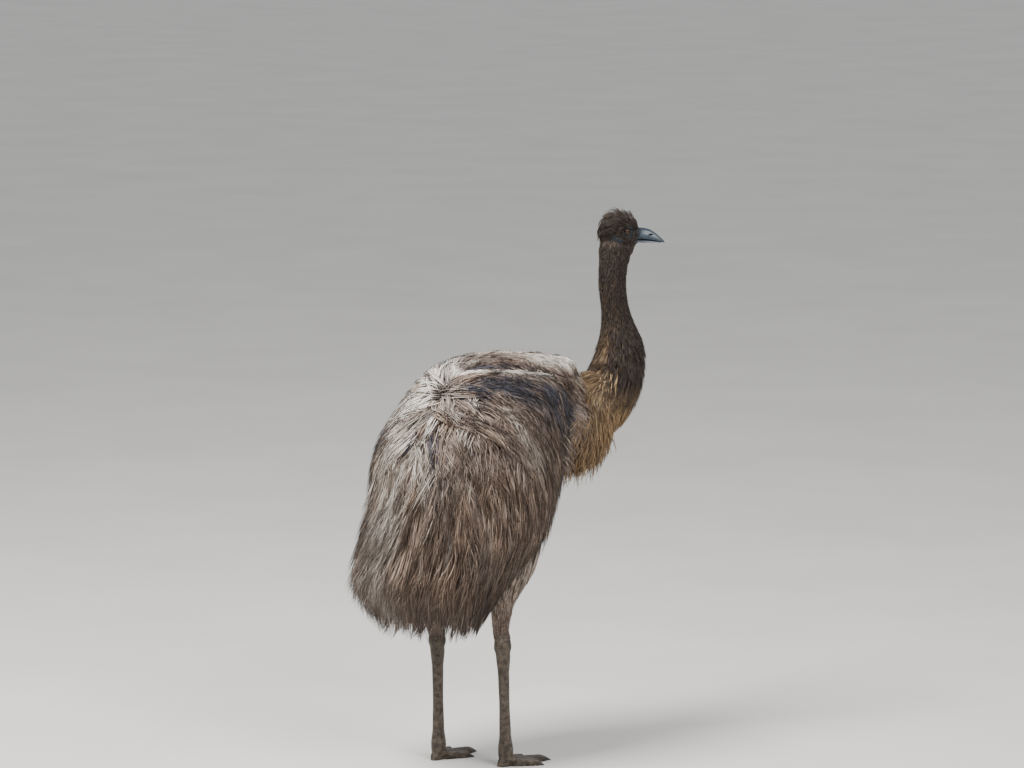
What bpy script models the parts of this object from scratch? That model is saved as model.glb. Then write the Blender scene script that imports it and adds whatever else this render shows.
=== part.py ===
"""A life-size standing emu, its head turned to its right, as a still museum model.

Metres, +Z up, +X the way the body faces, +Y the bird's left. The origin lies on the
floor under the middle of the model's box. The plumage is built as coat levels: q runs
from the parting on the back (0) to the hem of the skirt (1), phi runs round the body
from the front, and reach runs from the body core (0) to the tips of the coat (1).
"""

import math
import random
from collections import namedtuple
from functools import partial

import bmesh
import bpy
from mathutils import Matrix, Vector

# Clearances and the frame
GAP = 0.0004
SHIFT = Vector((-0.129, 0.002, 0.0))
SEED = 11

# Body core and coat tips, level by level from the parting to the hem:
# height, middle along X, half length, half width
CORE = (
    (1.218, 0.135, 0.185, 0.020),
    (1.196, 0.115, 0.240, 0.080),
    (1.134, 0.075, 0.268, 0.136),
    (1.030, 0.035, 0.262, 0.168),
    (0.940, 0.005, 0.262, 0.190),
    (0.850, -0.015, 0.243, 0.192),
    (0.760, -0.035, 0.205, 0.168),
    (0.685, -0.050, 0.150, 0.120),
    (0.645, -0.060, 0.080, 0.065),
)
COAT = (
    (1.240, 0.140, 0.205, 0.022),
    (1.224, 0.125, 0.268, 0.082),
    (1.168, 0.090, 0.298, 0.146),
    (1.075, 0.030, 0.297, 0.208),
    (0.965, -0.022, 0.303, 0.252),
    (0.835, -0.050, 0.292, 0.267),
    (0.700, -0.088, 0.300, 0.262),
    (0.550, -0.185, 0.250, 0.222),
    (0.408, -0.182, 0.125, 0.160),
)
BODY_SQUARENESS = 2.1
# The back arches: where it peaks, and how much lower it is 0.3 m ahead or behind
BACK_PEAK = 0.070
BACK_ARCH = 0.045
BODY_SIDES = 20
BODY_LEVELS = 11
RUMP_X = -0.120

# Neck, from inside the chest up to the skull: X, height, half depth, half width
NECK = (
    (0.200, 0.980, 0.125, 0.115),
    (0.340, 0.990, 0.130, 0.125),
    (0.430, 1.035, 0.105, 0.100),
    (0.515, 1.065, 0.094, 0.088),
    (0.560, 1.130, 0.084, 0.080),
    (0.573, 1.200, 0.074, 0.070),
    (0.565, 1.265, 0.052, 0.050),
    (0.552, 1.330, 0.040, 0.038),
    (0.542, 1.400, 0.040, 0.038),
    (0.547, 1.470, 0.042, 0.039),
    (0.552, 1.525, 0.036, 0.034),
    (0.556, 1.560, 0.018, 0.018),
)
NECK_SIDES = 14
NECK_SPLIT = 0.56
NECK_TOP_TURN = 0.010

# Head, along the line from its nape to its brow: distance, height over the skull's
# middle, half height, half width
HEAD_TURN = math.radians(-40)
SKULL_MIDDLE = Vector((0.567, 0.0, 1.554))
SKULL = (
    (-0.058, -0.004, 0.010, 0.010),
    (-0.052, -0.003, 0.022, 0.021),
    (-0.035, -0.001, 0.033, 0.030),
    (-0.010, 0.000, 0.038, 0.034),
    (0.015, -0.001, 0.036, 0.033),
    (0.038, -0.002, 0.030, 0.026),
    (0.058, -0.002, 0.024, 0.018),
    (0.072, -0.002, 0.020, 0.013),
)
HEAD_SIDES = 14
SKULL_STEPS = 9

# Bill: distance from the skull's middle, top, edge of the gape, half width
UPPER_BILL = (
    (0.050, 0.016, -0.011, 0.015),
    (0.072, 0.0195, -0.0115, 0.0150),
    (0.090, 0.0175, -0.0115, 0.0130),
    (0.107, 0.0100, -0.0130, 0.0105),
    (0.122, -0.0005, -0.0150, 0.0075),
    (0.133, -0.0095, -0.0170, 0.0045),
    (0.139, -0.0155, -0.0190, 0.0020),
)
LOWER_BILL = (
    (0.045, -0.0120, -0.0260, 0.0150),
    (0.072, -0.0123, -0.0245, 0.0140),
    (0.092, -0.0123, -0.0225, 0.0118),
    (0.110, -0.0138, -0.0208, 0.0088),
    (0.125, -0.0158, -0.0200, 0.0050),
    (0.131, -0.0168, -0.0190, 0.0025),
)
BILL_SIDES = 12
BILL_STEPS = 9
NOSTRIL = Vector((0.098, 0.0, 0.003))
NOSTRIL_SIZE = Vector((0.0065, 0.0030, 0.0026))
EYE_RADIUS = 0.0115
EYE_PLACE = Vector((0.024, 0.0225, 0.009))
LID_THICKNESS = 0.0022
EAR_RADIUS = 0.0055
EAR_PLACE = Vector((-0.018, 0.0335, -0.008))

# Legs, from inside the body to the hock: X, distance from the middle, height, half
# depth, half width
DRUMSTICKS = {
    "right": (
        (0.105, -0.118, 0.830, 0.085, 0.060),
        (0.090, -0.120, 0.720, 0.086, 0.060),
        (0.055, -0.116, 0.610, 0.066, 0.052),
        (0.020, -0.110, 0.510, 0.038, 0.034),
        (0.014, -0.104, 0.430, 0.026, 0.024),
        (0.024, -0.100, 0.385, 0.025, 0.022),
    ),
    "left": (
        (0.000, 0.118, 0.830, 0.085, 0.060),
        (-0.015, 0.120, 0.720, 0.082, 0.060),
        (-0.040, 0.116, 0.610, 0.064, 0.052),
        (-0.068, 0.110, 0.510, 0.038, 0.034),
        (-0.074, 0.104, 0.430, 0.026, 0.024),
        (-0.064, 0.100, 0.385, 0.025, 0.022),
    ),
}
LEG_SIDES = 10
LEG_STEPS = 8
SHANK_SIDES = 10
PAD_HEIGHT = 0.026
FEET = {"right": Vector((0.036, -0.100, 0.0)), "left": Vector((-0.060, 0.100, 0.0))}
FOOT_TURN = {"right": math.radians(-8), "left": math.radians(4)}
# Shank sizes from the hock to the pad: share of the way down, half depth, half width
SHANK = (
    (0.000, 0.026, 0.023),
    (0.060, 0.029, 0.026),
    (0.130, 0.023, 0.020),
    (0.300, 0.018, 0.0155),
    (0.550, 0.0165, 0.0145),
    (0.800, 0.0185, 0.0165),
    (0.940, 0.023, 0.023),
    (1.000, 0.021, 0.024),
)
SCUTES = 10
SCUTE_RISE = 0.0018
# Toes: turn from the foot's line, length, half width at the root and near the tip
TOES = {
    "inner": (math.radians(27), 0.098, 0.0145, 0.0105),
    "middle": (0.0, 0.142, 0.0175, 0.0125),
    "outer": (math.radians(-27), 0.104, 0.0145, 0.0105),
}
TOE_START = {"inner": 0.022, "middle": -0.028, "outer": 0.022}
TOE_HEIGHT = 0.030
TOE_SIDES = 10
TOE_STEPS = 9
CLAW_SHARES = (0.0, 0.35, 0.65, 0.88)
CLAW_LENGTH = {"inner": 0.029, "middle": 0.031, "outer": 0.026}

# Locks of plumage: share of the way along and share of the width at each ring, then a
# point at the tip
LOCK_SHAPE = ((0.0, 0.72), (0.38, 1.00), (0.75, 0.64))
LOCK_TWIST = math.radians(7)
# Tiers on the body: level of the roots, locks in the ring, levels down to the tips, width,
# depth of the roots
BODY_TIERS = (
    (0.00, 14, 0.40, 0.074, 0.05),
    (0.13, 18, 0.33, 0.072, 0.30),
    (0.25, 18, 0.30, 0.080, 0.35),
    (0.37, 19, 0.29, 0.082, 0.35),
    (0.49, 19, 0.29, 0.082, 0.35),
    (0.61, 19, 0.29, 0.080, 0.35),
    (0.71, 19, 0.28, 0.076, 0.35),
)
BARE_FRONT = math.radians(34)
BARE_FRONT_LEVEL = 0.5
# Tiers on the neck: share up the neck, locks in the ring, fall, lift of the tips, width
NECK_TIERS = (
    (0.520, 7, 0.130, 0.003, 0.040),
    (0.435, 7, 0.140, 0.007, 0.050),
    (0.345, 8, 0.150, 0.011, 0.058),
    (0.250, 8, 0.150, 0.015, 0.064),
)
NECK_COAT = 0.016
# Tiers on the legs: share down the drumstick, locks in the ring, fall, lift, width
LEG_TIERS = (
    (0.450, 6, 0.240, 0.008, 0.044),
    (0.640, 6, 0.220, 0.004, 0.028),
)
LEG_COAT = 0.010
# Tiers on the crown: share of the way from nape to brow, locks, lift, width
CROWN_TIERS = (
    (0.80, 5, 0.024, 0.015),
    (0.60, 5, 0.033, 0.018),
    (0.38, 4, 0.028, 0.018),
)

Lock = namedtuple("Lock", "surface start turn fall drift sink lift width twist")

FINISHES = {
    "plumage": ((0.185, 0.145, 0.110), 0.85),
    "neck_plumage": ((0.060, 0.048, 0.045), 0.85),
    "face_skin": ((0.045, 0.052, 0.058), 0.60),
    "bill_horn": ((0.060, 0.085, 0.105), 0.35),
    "eye_gloss": ((0.060, 0.022, 0.010), 0.08),
    "leg_scales": ((0.075, 0.060, 0.050), 0.60),
    "claw_horn": ((0.030, 0.027, 0.025), 0.40),
}


def clear_scene():
    for old in list(bpy.data.objects):
        bpy.data.objects.remove(old)


def finish(name):
    """The material of that name, made once."""
    found = bpy.data.materials.get(name)
    if found:
        return found
    colour, roughness = FINISHES[name]
    made = bpy.data.materials.new(name)
    made.use_nodes = True
    shader = made.node_tree.nodes["Principled BSDF"]
    shader.inputs["Base Color"].default_value = (*colour, 1.0)
    shader.inputs["Roughness"].default_value = roughness
    return made


def smooth_row(rows, t):
    """The sizes at t, from 0 to 1, on a smooth curve through evenly spaced rows."""
    place = min(max(t, 0.0), 1.0) * (len(rows) - 1)
    i = min(int(place), len(rows) - 2)
    k = place - i
    before = rows[max(i - 1, 0)]
    after = rows[min(i + 2, len(rows) - 1)]
    sizes = []
    for a, b, c, d in zip(before, rows[i], rows[i + 1], after):
        curve = 2 * b + (c - a) * k + (2 * a - 5 * b + 4 * c - d) * k**2
        curve += (3 * b - a - 3 * c + d) * k**3
        sizes.append(curve / 2)
    return sizes


def mix(a, b, share):
    return a + (b - a) * share


def rounded(value, squareness):
    """A cosine or sine bent towards a squarer outline."""
    return math.copysign(abs(value) ** (2 / squareness), value)


def mesh_object(name, points, faces):
    mesh = bpy.data.meshes.new(name)
    mesh.from_pydata([tuple(p) for p in points], [], faces)
    made = bpy.data.objects.new(name, mesh)
    bpy.context.scene.collection.objects.link(made)
    return made


def loft(name, rings):
    """A closed skin over rings of equally many points, flat at both ends."""
    sides = len(rings[0])
    points = [p for ring in rings for p in ring]
    faces = [tuple(reversed(range(sides)))]
    for r in range(len(rings) - 1):
        for s in range(sides):
            a = r * sides + s
            b = r * sides + (s + 1) % sides
            faces.append((a, b, b + sides, a + sides))
    last = (len(rings) - 1) * sides
    faces.append(tuple(range(last, last + sides)))
    made = mesh_object(name, points, faces)
    outward(made)
    return made


def outward(made):
    """Faces turned outwards and split into triangles."""
    shape = bmesh.new()
    shape.from_mesh(made.data)
    bmesh.ops.recalc_face_normals(shape, faces=shape.faces)
    bmesh.ops.triangulate(shape, faces=shape.faces)
    shape.to_mesh(made.data)
    shape.free()


def apply_modifiers(made):
    """The object's modifiers become part of its shape."""
    graph = bpy.context.evaluated_depsgraph_get()
    shaped = bpy.data.meshes.new_from_object(made.evaluated_get(graph))
    made.modifiers.clear()
    made.data = shaped


def keep_largest(made):
    """Only the largest closed surface of the object stays."""
    shape = bmesh.new()
    shape.from_mesh(made.data)
    bmesh.ops.remove_doubles(shape, verts=shape.verts, dist=1e-6)
    left = set(shape.verts)
    shells = []
    while left:
        start = left.pop()
        shell = {start}
        front = [start]
        while front:
            for edge in front.pop().link_edges:
                for vert in edge.verts:
                    if vert not in shell:
                        shell.add(vert)
                        front.append(vert)
        left -= shell
        shells.append(shell)
    shells.sort(key=lambda s: sum(f.calc_area() for f in {f for v in s for f in v.link_faces}))
    for shell in shells[:-1]:
        bmesh.ops.delete(shape, geom=list(shell), context="VERTS")
    shape.to_mesh(made.data)
    shape.free()


def combine(made, others, operation):
    """Joins others to made, or cuts them out of it, in one Boolean, and removes them."""
    group = bpy.data.collections.new("joining")
    for other in others:
        group.objects.link(other)
    step = made.modifiers.new("join", "BOOLEAN")
    step.operation = operation
    step.operand_type = "COLLECTION"
    step.collection = group
    step.solver = "MANIFOLD"
    apply_modifiers(made)
    for other in others:
        bpy.data.objects.remove(other)
    bpy.data.collections.remove(group)
    return made


def joined(parts):
    return combine(parts[0], parts[1:], "UNION")


def cut(made, cutters):
    """The largest piece of made that is left outside the cutters."""
    combine(made, cutters, "DIFFERENCE")
    keep_largest(made)
    return made


def lock(spec, grow=0.0):
    """A flat four-sided lock that rises from inside its core and comes to a point."""
    def centre(s, aside=0.0):
        lift = mix(spec.sink, spec.lift, s)
        return spec.surface(spec.start + spec.fall * s, spec.turn + spec.drift * s + aside, lift)

    points = []
    for s, share in LOCK_SHAPE:
        thick = (0.0014 + 0.027 * spec.width) * share
        scale = 1 + grow / thick
        along = (centre(s + 0.04) - centre(s - 0.04)).normalized()
        out = along.cross(centre(s, 0.05) - centre(s, -0.05)).normalized()
        out = Matrix.Rotation(spec.twist * s, 3, along) @ out
        side = out.cross(along)
        here = centre(s) - (along * 2 * grow if s == 0 else Vector())
        half = spec.width / 2 * share * scale
        thick *= scale
        points += [here + side * half, here + out * thick, here - side * half, here - out * thick]
    thick -= grow
    points.append(here + (centre(1) - here) * (1 + grow / thick))
    faces = [(2, 1, 0), (3, 2, 0)]
    for ring in range(0, 4 * len(LOCK_SHAPE) - 4, 4):
        for i in range(4):
            a, b = ring + i, ring + (i + 1) % 4
            if i % 2:
                faces += [(a, b, b + 4), (a, b + 4, a + 4)]
            else:
                faces += [(a, b, a + 4), (b, b + 4, a + 4)]
    last = 4 * len(LOCK_SHAPE) - 4
    faces += [(last + i, last + (i + 1) % 4, last + 4) for i in range(4)]
    made = mesh_object("lock", points, faces)
    outward(made)
    return made


def locks(specs, grow=0.0):
    return [lock(spec, grow) for spec in specs]


def body_tiers():
    """The coat's locks in shingled tiers, those rooted in the torso and in the rump."""
    ahead, behind = [], []
    for tier, (start, count, fall, width, depth) in enumerate(BODY_TIERS):
        for i in range(count):
            turn = math.tau * (i + 0.5 * (tier % 2) + random.uniform(-0.2, 0.2)) / count
            front = abs(math.remainder(turn, math.tau)) < BARE_FRONT
            place = start + random.uniform(0.0, 0.025)
            drop = min(fall * random.uniform(0.88, 1.1), 1.0 - place)
            lift = random.uniform(0.92, 1.06)
            size = width * random.uniform(0.9, 1.1)
            drift = random.uniform(-0.06, 0.06)
            twist = LOCK_TWIST * random.uniform(-1, 1)
            if front and start < BARE_FRONT_LEVEL:
                continue
            made = Lock(body_point, place, turn, drop, drift, -depth, lift, size, twist)
            root = body_point(place, turn, -depth)
            (ahead if root.x > RUMP_X else behind).append(made)
    return ahead, behind


def limb_tiers(surface, tiers, down, depth, sway):
    """Tiers round a limb, falling down it, longest where sway says more than 1."""
    made = []
    for tier, (start, count, fall, lift, width) in enumerate(tiers):
        for i in range(count):
            turn = math.tau * (i + 0.5 * (tier % 2) + random.uniform(-0.15, 0.15)) / count
            reach = lift * random.uniform(0.7, 1.1) * sway(turn)
            drop = down * fall * random.uniform(0.88, 1.08)
            size = width * random.uniform(0.9, 1.1)
            twist = LOCK_TWIST * random.uniform(-1, 1)
            made.append(Lock(surface, start, turn, drop, 0.0, -depth - 0.004, reach, size, twist))
    return made


def crown_tiers():
    """The bushy crown: short locks that stand up and fall back from brow to nape."""
    made = []
    for start, count, lift, width in CROWN_TIERS:
        for i in range(count):
            turn = math.radians(62) * (2 * (i + 0.5) / count - 1) + random.uniform(-0.08, 0.08)
            reach = lift * random.uniform(0.85, 1.1)
            twist = LOCK_TWIST * random.uniform(-1, 1)
            made.append(Lock(skull_point, start, turn, -0.30, 0.0, -0.004, reach, width, twist))
    return made


def body_point(q, phi, reach, grow=0.0):
    """A point of the body between its core and the tips of its coat."""
    core = smooth_row(CORE, q)
    tips = smooth_row(COAT, q)
    z, middle, length, width = (mix(a, b, reach) for a, b in zip(core, tips))
    x = middle + (length + grow) * rounded(math.cos(phi), BODY_SQUARENESS)
    y = (width + grow) * rounded(math.sin(phi), BODY_SQUARENESS)
    z -= BACK_ARCH * ((x - BACK_PEAK) / 0.3) ** 2 * max(0.0, 1 - 1.6 * q) ** 2
    return Vector((x, y, z + grow * (1 - 2 * q)))


def body_core(name, grow=0.0):
    rings = []
    for level in range(BODY_LEVELS):
        q = level / (BODY_LEVELS - 1)
        angles = [math.tau * s / BODY_SIDES for s in range(BODY_SIDES)]
        rings.append([body_point(q, phi, 0.0, grow) for phi in angles])
    return loft(name, rings)


def half_space(name, low_x, high_x):
    """A box cutter that spans the body between two places along X."""
    bpy.ops.mesh.primitive_cube_add(size=1)
    made = bpy.context.object
    made.name = name
    made.scale = (high_x - low_x, 2, 3)
    made.location = ((high_x + low_x) / 2, 0, 1)
    apply_transform(made)
    return made


def apply_transform(made):
    bpy.context.view_layer.update()
    made.data.transform(made.matrix_world)
    made.matrix_world = Matrix.Identity(4)


def limb_point(centre, along, depth, width, angle):
    """A point round a limb: angle 0 lies ahead of it and a quarter turn to its left."""
    along = along.normalized()
    across = Vector((0, 1, 0))
    fore = along.cross(across).normalized()
    return centre + fore * depth * math.cos(angle) + across * width * math.sin(angle)


def neck_point(t, angle, grow=0.0):
    """A point of the neck at t, which leans over towards the turned head near the top."""
    x, z, depth, width = smooth_row(NECK, t)
    ahead = smooth_row(NECK, t + 0.02)
    behind = smooth_row(NECK, t - 0.02)
    along = Vector((behind[0] - ahead[0], 0, behind[1] - ahead[1]))
    lean = NECK_TOP_TURN * max(0.0, (t - 0.7) / 0.3) ** 2
    return limb_point(Vector((x, lean, z)), along, depth + grow, width + grow, angle)


def neck_loft(name, start, end, steps, grow=0.0):
    rings = []
    for step in range(steps + 1):
        t = mix(start, end, step / steps)
        coat = NECK_COAT * min(1.0, max(0.0, (NECK_SPLIT - t) / 0.10))
        angles = [math.tau * s / NECK_SIDES for s in range(NECK_SIDES)]
        rings.append([neck_point(t, angle, grow - coat) for angle in angles])
    return loft(name, rings)


def head_place(point):
    """A point given along the head, to its left and up, placed on the turned head."""
    return SKULL_MIDDLE + Matrix.Rotation(HEAD_TURN, 3, "Z") @ Vector(point)


def skull_point(t, angle, grow=0.0):
    """A point of the skull from nape to brow: angle 0 is up, then turning to its right."""
    x, z, height, width = smooth_row(SKULL, t)
    y = -(width + grow) * math.sin(angle)
    return head_place((x, y, z + (height + grow) * math.cos(angle)))


def skull(name, grow=0.0):
    rings = []
    for step in range(SKULL_STEPS + 1):
        angles = [math.tau * s / HEAD_SIDES for s in range(HEAD_SIDES)]
        rings.append([skull_point(step / SKULL_STEPS, angle, grow) for angle in angles])
    return loft(name, rings)


def bill_half(name, rows, rounding):
    """One half of the bill: a roof over a flat gape, rounding 1, or a keel under it, -1."""
    rings = []
    for step in range(BILL_STEPS + 1):
        x, crown, gape, width = smooth_row(rows, step / BILL_STEPS)
        top, bottom = (crown, gape) if rounding > 0 else (gape, crown)
        ring = []
        for side in range(BILL_SIDES):
            angle = math.tau * side / BILL_SIDES
            y = width * rounded(math.cos(angle), 2.4)
            if math.sin(angle) >= 0:
                z = bottom + (top - bottom) * rounded(math.sin(angle), 1.8)
            else:
                z = bottom
            ring.append(head_place((x, y, z)))
        rings.append(ring)
    made = loft(name, rings)
    shape = bmesh.new()
    shape.from_mesh(made.data)
    bmesh.ops.dissolve_degenerate(shape, dist=1e-5, edges=shape.edges)
    shape.to_mesh(made.data)
    shape.free()
    return made


def ball(name, centre, size, segments=14, rings=9):
    bpy.ops.mesh.primitive_uv_sphere_add(segments=segments, ring_count=rings, radius=1)
    made = bpy.context.object
    made.name = name
    made.data.transform(Matrix.Diagonal((*size, 1)))
    made.data.transform(Matrix.Rotation(HEAD_TURN, 4, "Z"))
    made.data.transform(Matrix.Translation(centre))
    return made


def leg_point(rows, t, angle, grow=0.0):
    x, y, z, depth, width = smooth_row(rows, t)
    ahead = smooth_row(rows, t + 0.02)
    behind = smooth_row(rows, t - 0.02)
    along = Vector((ahead[0] - behind[0], 0, ahead[2] - behind[2]))
    return limb_point(Vector((x, y, z)), along, depth + grow, width + grow, angle)


def drumstick(name, side, grow=0.0):
    rings = []
    for step in range(LEG_STEPS + 1):
        t = step / LEG_STEPS
        coat = LEG_COAT * min(1.0, max(0.0, (0.9 - t) / 0.15))
        angles = [math.tau * s / LEG_SIDES for s in range(LEG_SIDES)]
        rings.append([leg_point(DRUMSTICKS[side], t, angle, grow - coat) for angle in angles])
    return loft(name, rings)


def shank_size(share):
    """Half depth and half width of the shank at a share of the way down."""
    for low, high in zip(SHANK, SHANK[1:]):
        if share <= high[0]:
            k = (share - low[0]) / (high[0] - low[0])
            k = k * k * (3 - 2 * k)
            return mix(low[1], high[1], k), mix(low[2], high[2], k)
    return SHANK[-1][1], SHANK[-1][2]


def shank(name, side, grow=0.0):
    """The bare scaled shank, from the hock to the pad over the toes."""
    row = DRUMSTICKS[side][-1]
    top = Vector((row[0], row[1], row[2] - 0.002))
    foot = FEET[side] + Vector((0, 0, PAD_HEIGHT))
    along = foot - top
    shares = [0.0, 0.03, 0.07, 0.11]
    for scute in range(SCUTES):
        start = mix(0.15, 0.88, scute / SCUTES)
        end = mix(0.15, 0.88, (scute + 0.92) / SCUTES)
        shares += [start, end]
    shares += [0.90, 0.95, 1.0]
    rings = []
    for i, share in enumerate(shares):
        depth, width = shank_size(share)
        if 4 <= i < 4 + 2 * SCUTES and i % 2 == 0:
            depth -= SCUTE_RISE
        centre = top + along * share
        angles = [math.tau * s / SHANK_SIDES for s in range(SHANK_SIDES)]
        rings.append([limb_point(centre, along, depth + grow, width + grow, a) for a in angles])
    return loft(name, rings)


def toe_ring(origin, heading, x, height, width, grow=0.0):
    across = Vector((-heading.y, heading.x, 0))
    ring = []
    for side in range(TOE_SIDES):
        angle = math.tau * side / TOE_SIDES
        up = height * 0.42 + (height * 0.58 + grow) * rounded(math.sin(angle), 2.6)
        sideways = (width + grow) * rounded(math.cos(angle), 2.6)
        ring.append(origin + heading * x + across * sideways + Vector((0, 0, max(up, -grow))))
    return ring


def toe_heading(side, toe):
    turn = TOES[toe][0] * (1 if side == "right" else -1) + FOOT_TURN[side]
    return Vector((math.cos(turn), math.sin(turn), 0))


def toe(name, side, kind, grow=0.0):
    """A flat-soled toe with a pad under each of its joints."""
    _, length, root, tip = TOES[kind]
    heading = toe_heading(side, kind)
    rings = []
    for step in range(TOE_STEPS + 1):
        t = step / TOE_STEPS
        pad = 1 + 0.07 * math.cos(math.tau * 3 * t)
        end = math.sqrt(max(0.06, 1 - max(0, (t - 0.86) / 0.15) ** 2))
        if kind == "middle":
            end *= math.sqrt(max(0.30, 1 - max(0, (0.11 - t) / 0.11) ** 2))
        width = mix(root, tip, t) * pad * end
        height = mix(TOE_HEIGHT, TOE_HEIGHT * 0.62, t) * end
        x = mix(TOE_START[kind], length, t)
        rings.append(toe_ring(FEET[side], heading, x, height, width, grow))
    return loft(name, rings)


def claw(name, side, kind):
    """A blunt curved claw that starts inside its toe and comes to a point."""
    _, length, _, tip = TOES[kind]
    heading = toe_heading(side, kind)
    rings = []
    for t in CLAW_SHARES:
        width = tip * 0.72 * (1 - t**1.6)
        height = TOE_HEIGHT * 0.46 * (1 - t**1.3)
        ring = toe_ring(FEET[side], heading, length - 0.012 + CLAW_LENGTH[kind] * t, height, width)
        lift = 0.0035 * (1 - t) ** 2 + 0.0005
        rings.append([p + Vector((0, 0, lift)) for p in ring])
    return loft(name, rings)


def build_neck(nodes, neck_locks, crown_locks):
    neck_base = joined([neck_loft("neck_base", 0.0, NECK_SPLIT, 8)] + locks(neck_locks))
    nodes["neck_base"] = (cut(neck_base, [body_core("fat", GAP)]), "plumage")
    neck = neck_loft("neck", NECK_SPLIT + 0.001, 1.0, 9)
    nodes["neck"] = (cut(neck, [skull("fat", GAP)] + locks(crown_locks, GAP)), "neck_plumage")


def build_head(nodes, crown_locks):
    added = []
    hollows = []
    for side, hand in (("left", 1), ("right", -1)):
        place = head_place((EYE_PLACE.x, hand * EYE_PLACE.y, EYE_PLACE.z))
        nodes[f"eye_{side}"] = (ball(f"eye_{side}", place, (EYE_RADIUS,) * 3), "eye_gloss")
        lid_size = (EYE_RADIUS + LID_THICKNESS, EYE_RADIUS - 0.001, EYE_RADIUS + 0.001)
        added.append(ball("lid", place, lid_size))
        hollows.append(ball("socket", place, (EYE_RADIUS + GAP,) * 3))
        ear = head_place((EAR_PLACE.x, hand * EAR_PLACE.y, EAR_PLACE.z))
        hollows.append(ball("ear", ear, (EAR_RADIUS, 0.004, EAR_RADIUS), 10, 7))
    head = joined([skull("head")] + added + locks(crown_locks))
    nodes["head"] = (cut(head, hollows), "face_skin")
    for name, rows, rounding in (("bill_upper", UPPER_BILL, 1), ("bill_lower", LOWER_BILL, -1)):
        cutters = [skull("fat", GAP)]
        if rounding > 0:
            for hand in (1, -1):
                place = head_place((NOSTRIL.x, hand * 0.0115, NOSTRIL.z))
                cutters.append(ball("nostril", place, NOSTRIL_SIZE, 10, 7))
        nodes[name] = (cut(bill_half(name, rows, rounding), cutters), "bill_horn")


def build_leg(nodes, side, leg_locks):
    leg = joined([drumstick(f"drumstick_{side}", side)] + locks(leg_locks))
    nodes[f"drumstick_{side}"] = (cut(leg, [body_core("fat", GAP)]), "plumage")
    low = shank(f"shank_{side}", side)
    low = cut(low, [drumstick("fat", side, GAP)] + locks(leg_locks, GAP))
    nodes[f"shank_{side}"] = (low, "leg_scales")
    for kind in TOES:
        cutters = [shank("fat", side, GAP)]
        cutters += [toe("fat", side, other, GAP) for other in before(kind)]
        digit = cut(toe(f"toe_{kind}_{side}", side, kind), cutters)
        nodes[f"toe_{kind}_{side}"] = (digit, "leg_scales")
        nail = cut(claw(f"claw_{kind}_{side}", side, kind), [toe("fat", side, kind, GAP)])
        nodes[f"claw_{kind}_{side}"] = (nail, "claw_horn")


def limbs(neck_locks, leg_locks):
    """Slightly fat copies of the neck and the legs, which the coat is cut round."""
    made = [neck_loft("fat", 0.0, NECK_SPLIT, 8, GAP)] + locks(neck_locks, GAP)
    for side in DRUMSTICKS:
        made += [drumstick("fat", side, GAP)] + locks(leg_locks[side], GAP)
    return made


def build_body(nodes, torso_locks, rump_locks, neck_locks, leg_locks):
    coat = combine(joined(locks(torso_locks)), limbs(neck_locks, leg_locks), "DIFFERENCE")
    core = combine(body_core("core"), [half_space("behind", -2.0, RUMP_X)], "DIFFERENCE")
    torso = joined([core, coat])
    keep_largest(torso)
    nodes["torso"] = (torso, "plumage")
    coat = combine(joined(locks(rump_locks)), limbs(neck_locks, leg_locks), "DIFFERENCE")
    ahead = combine(body_core("fat", GAP), [half_space("behind", -2.0, RUMP_X - GAP)], "DIFFERENCE")
    rump = joined([body_core("rump"), coat])
    nodes["rump"] = (cut(rump, [ahead] + locks(torso_locks, GAP)), "plumage")


def before(kind):
    """The toes of a foot that are built ahead of this one."""
    order = ["middle", "inner", "outer"]
    return order[: order.index(kind)]


def build():
    torso_locks, rump_locks = body_tiers()
    neck_locks = limb_tiers(neck_point, NECK_TIERS, -1, NECK_COAT, lambda turn: 1.4 + math.cos(turn))
    leg_locks = {}
    for side, rows in DRUMSTICKS.items():
        surface = partial(leg_point, rows)
        leg_locks[side] = limb_tiers(surface, LEG_TIERS, 1, LEG_COAT, lambda turn: 1.0)
    crown_locks = crown_tiers()
    nodes = {}
    build_neck(nodes, neck_locks, crown_locks)
    build_head(nodes, crown_locks)
    for side in DRUMSTICKS:
        build_leg(nodes, side, leg_locks[side])
    build_body(nodes, torso_locks, rump_locks, neck_locks, leg_locks)
    emu = bpy.data.collections.new("emu")
    bpy.context.scene.collection.children.link(emu)
    for name, (made, slot) in nodes.items():
        made.name = name
        made.data.name = name
        made.data.transform(Matrix.Translation(SHIFT))
        made.data.materials.clear()
        made.data.materials.append(finish(slot))
        made.data.shade_smooth()
        made.data.set_sharp_from_angle(angle=math.radians(40))
        for held in list(made.users_collection):
            held.objects.unlink(made)
        emu.objects.link(made)


clear_scene()
random.seed(SEED)
build()
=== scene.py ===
"""Looks for the life-size standing emu: one skin, its horn and eyes, and its plumage.

Metres, in the frame of the solids: +Z up, +X the way the body faces, +Y the bird's left.
Plumage is laid along the same levels as the solids: q runs from the parting on the back
(0) to the hem (1), phi round the body from the front, and reach from the core (0) to the
tips of the coat (1). On the neck and the legs, t runs along the limb and angle round it.
"""

import math
from functools import partial

import bmesh
import bpy
import numpy as np
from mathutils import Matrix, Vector
from mathutils.kdtree import KDTree


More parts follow.
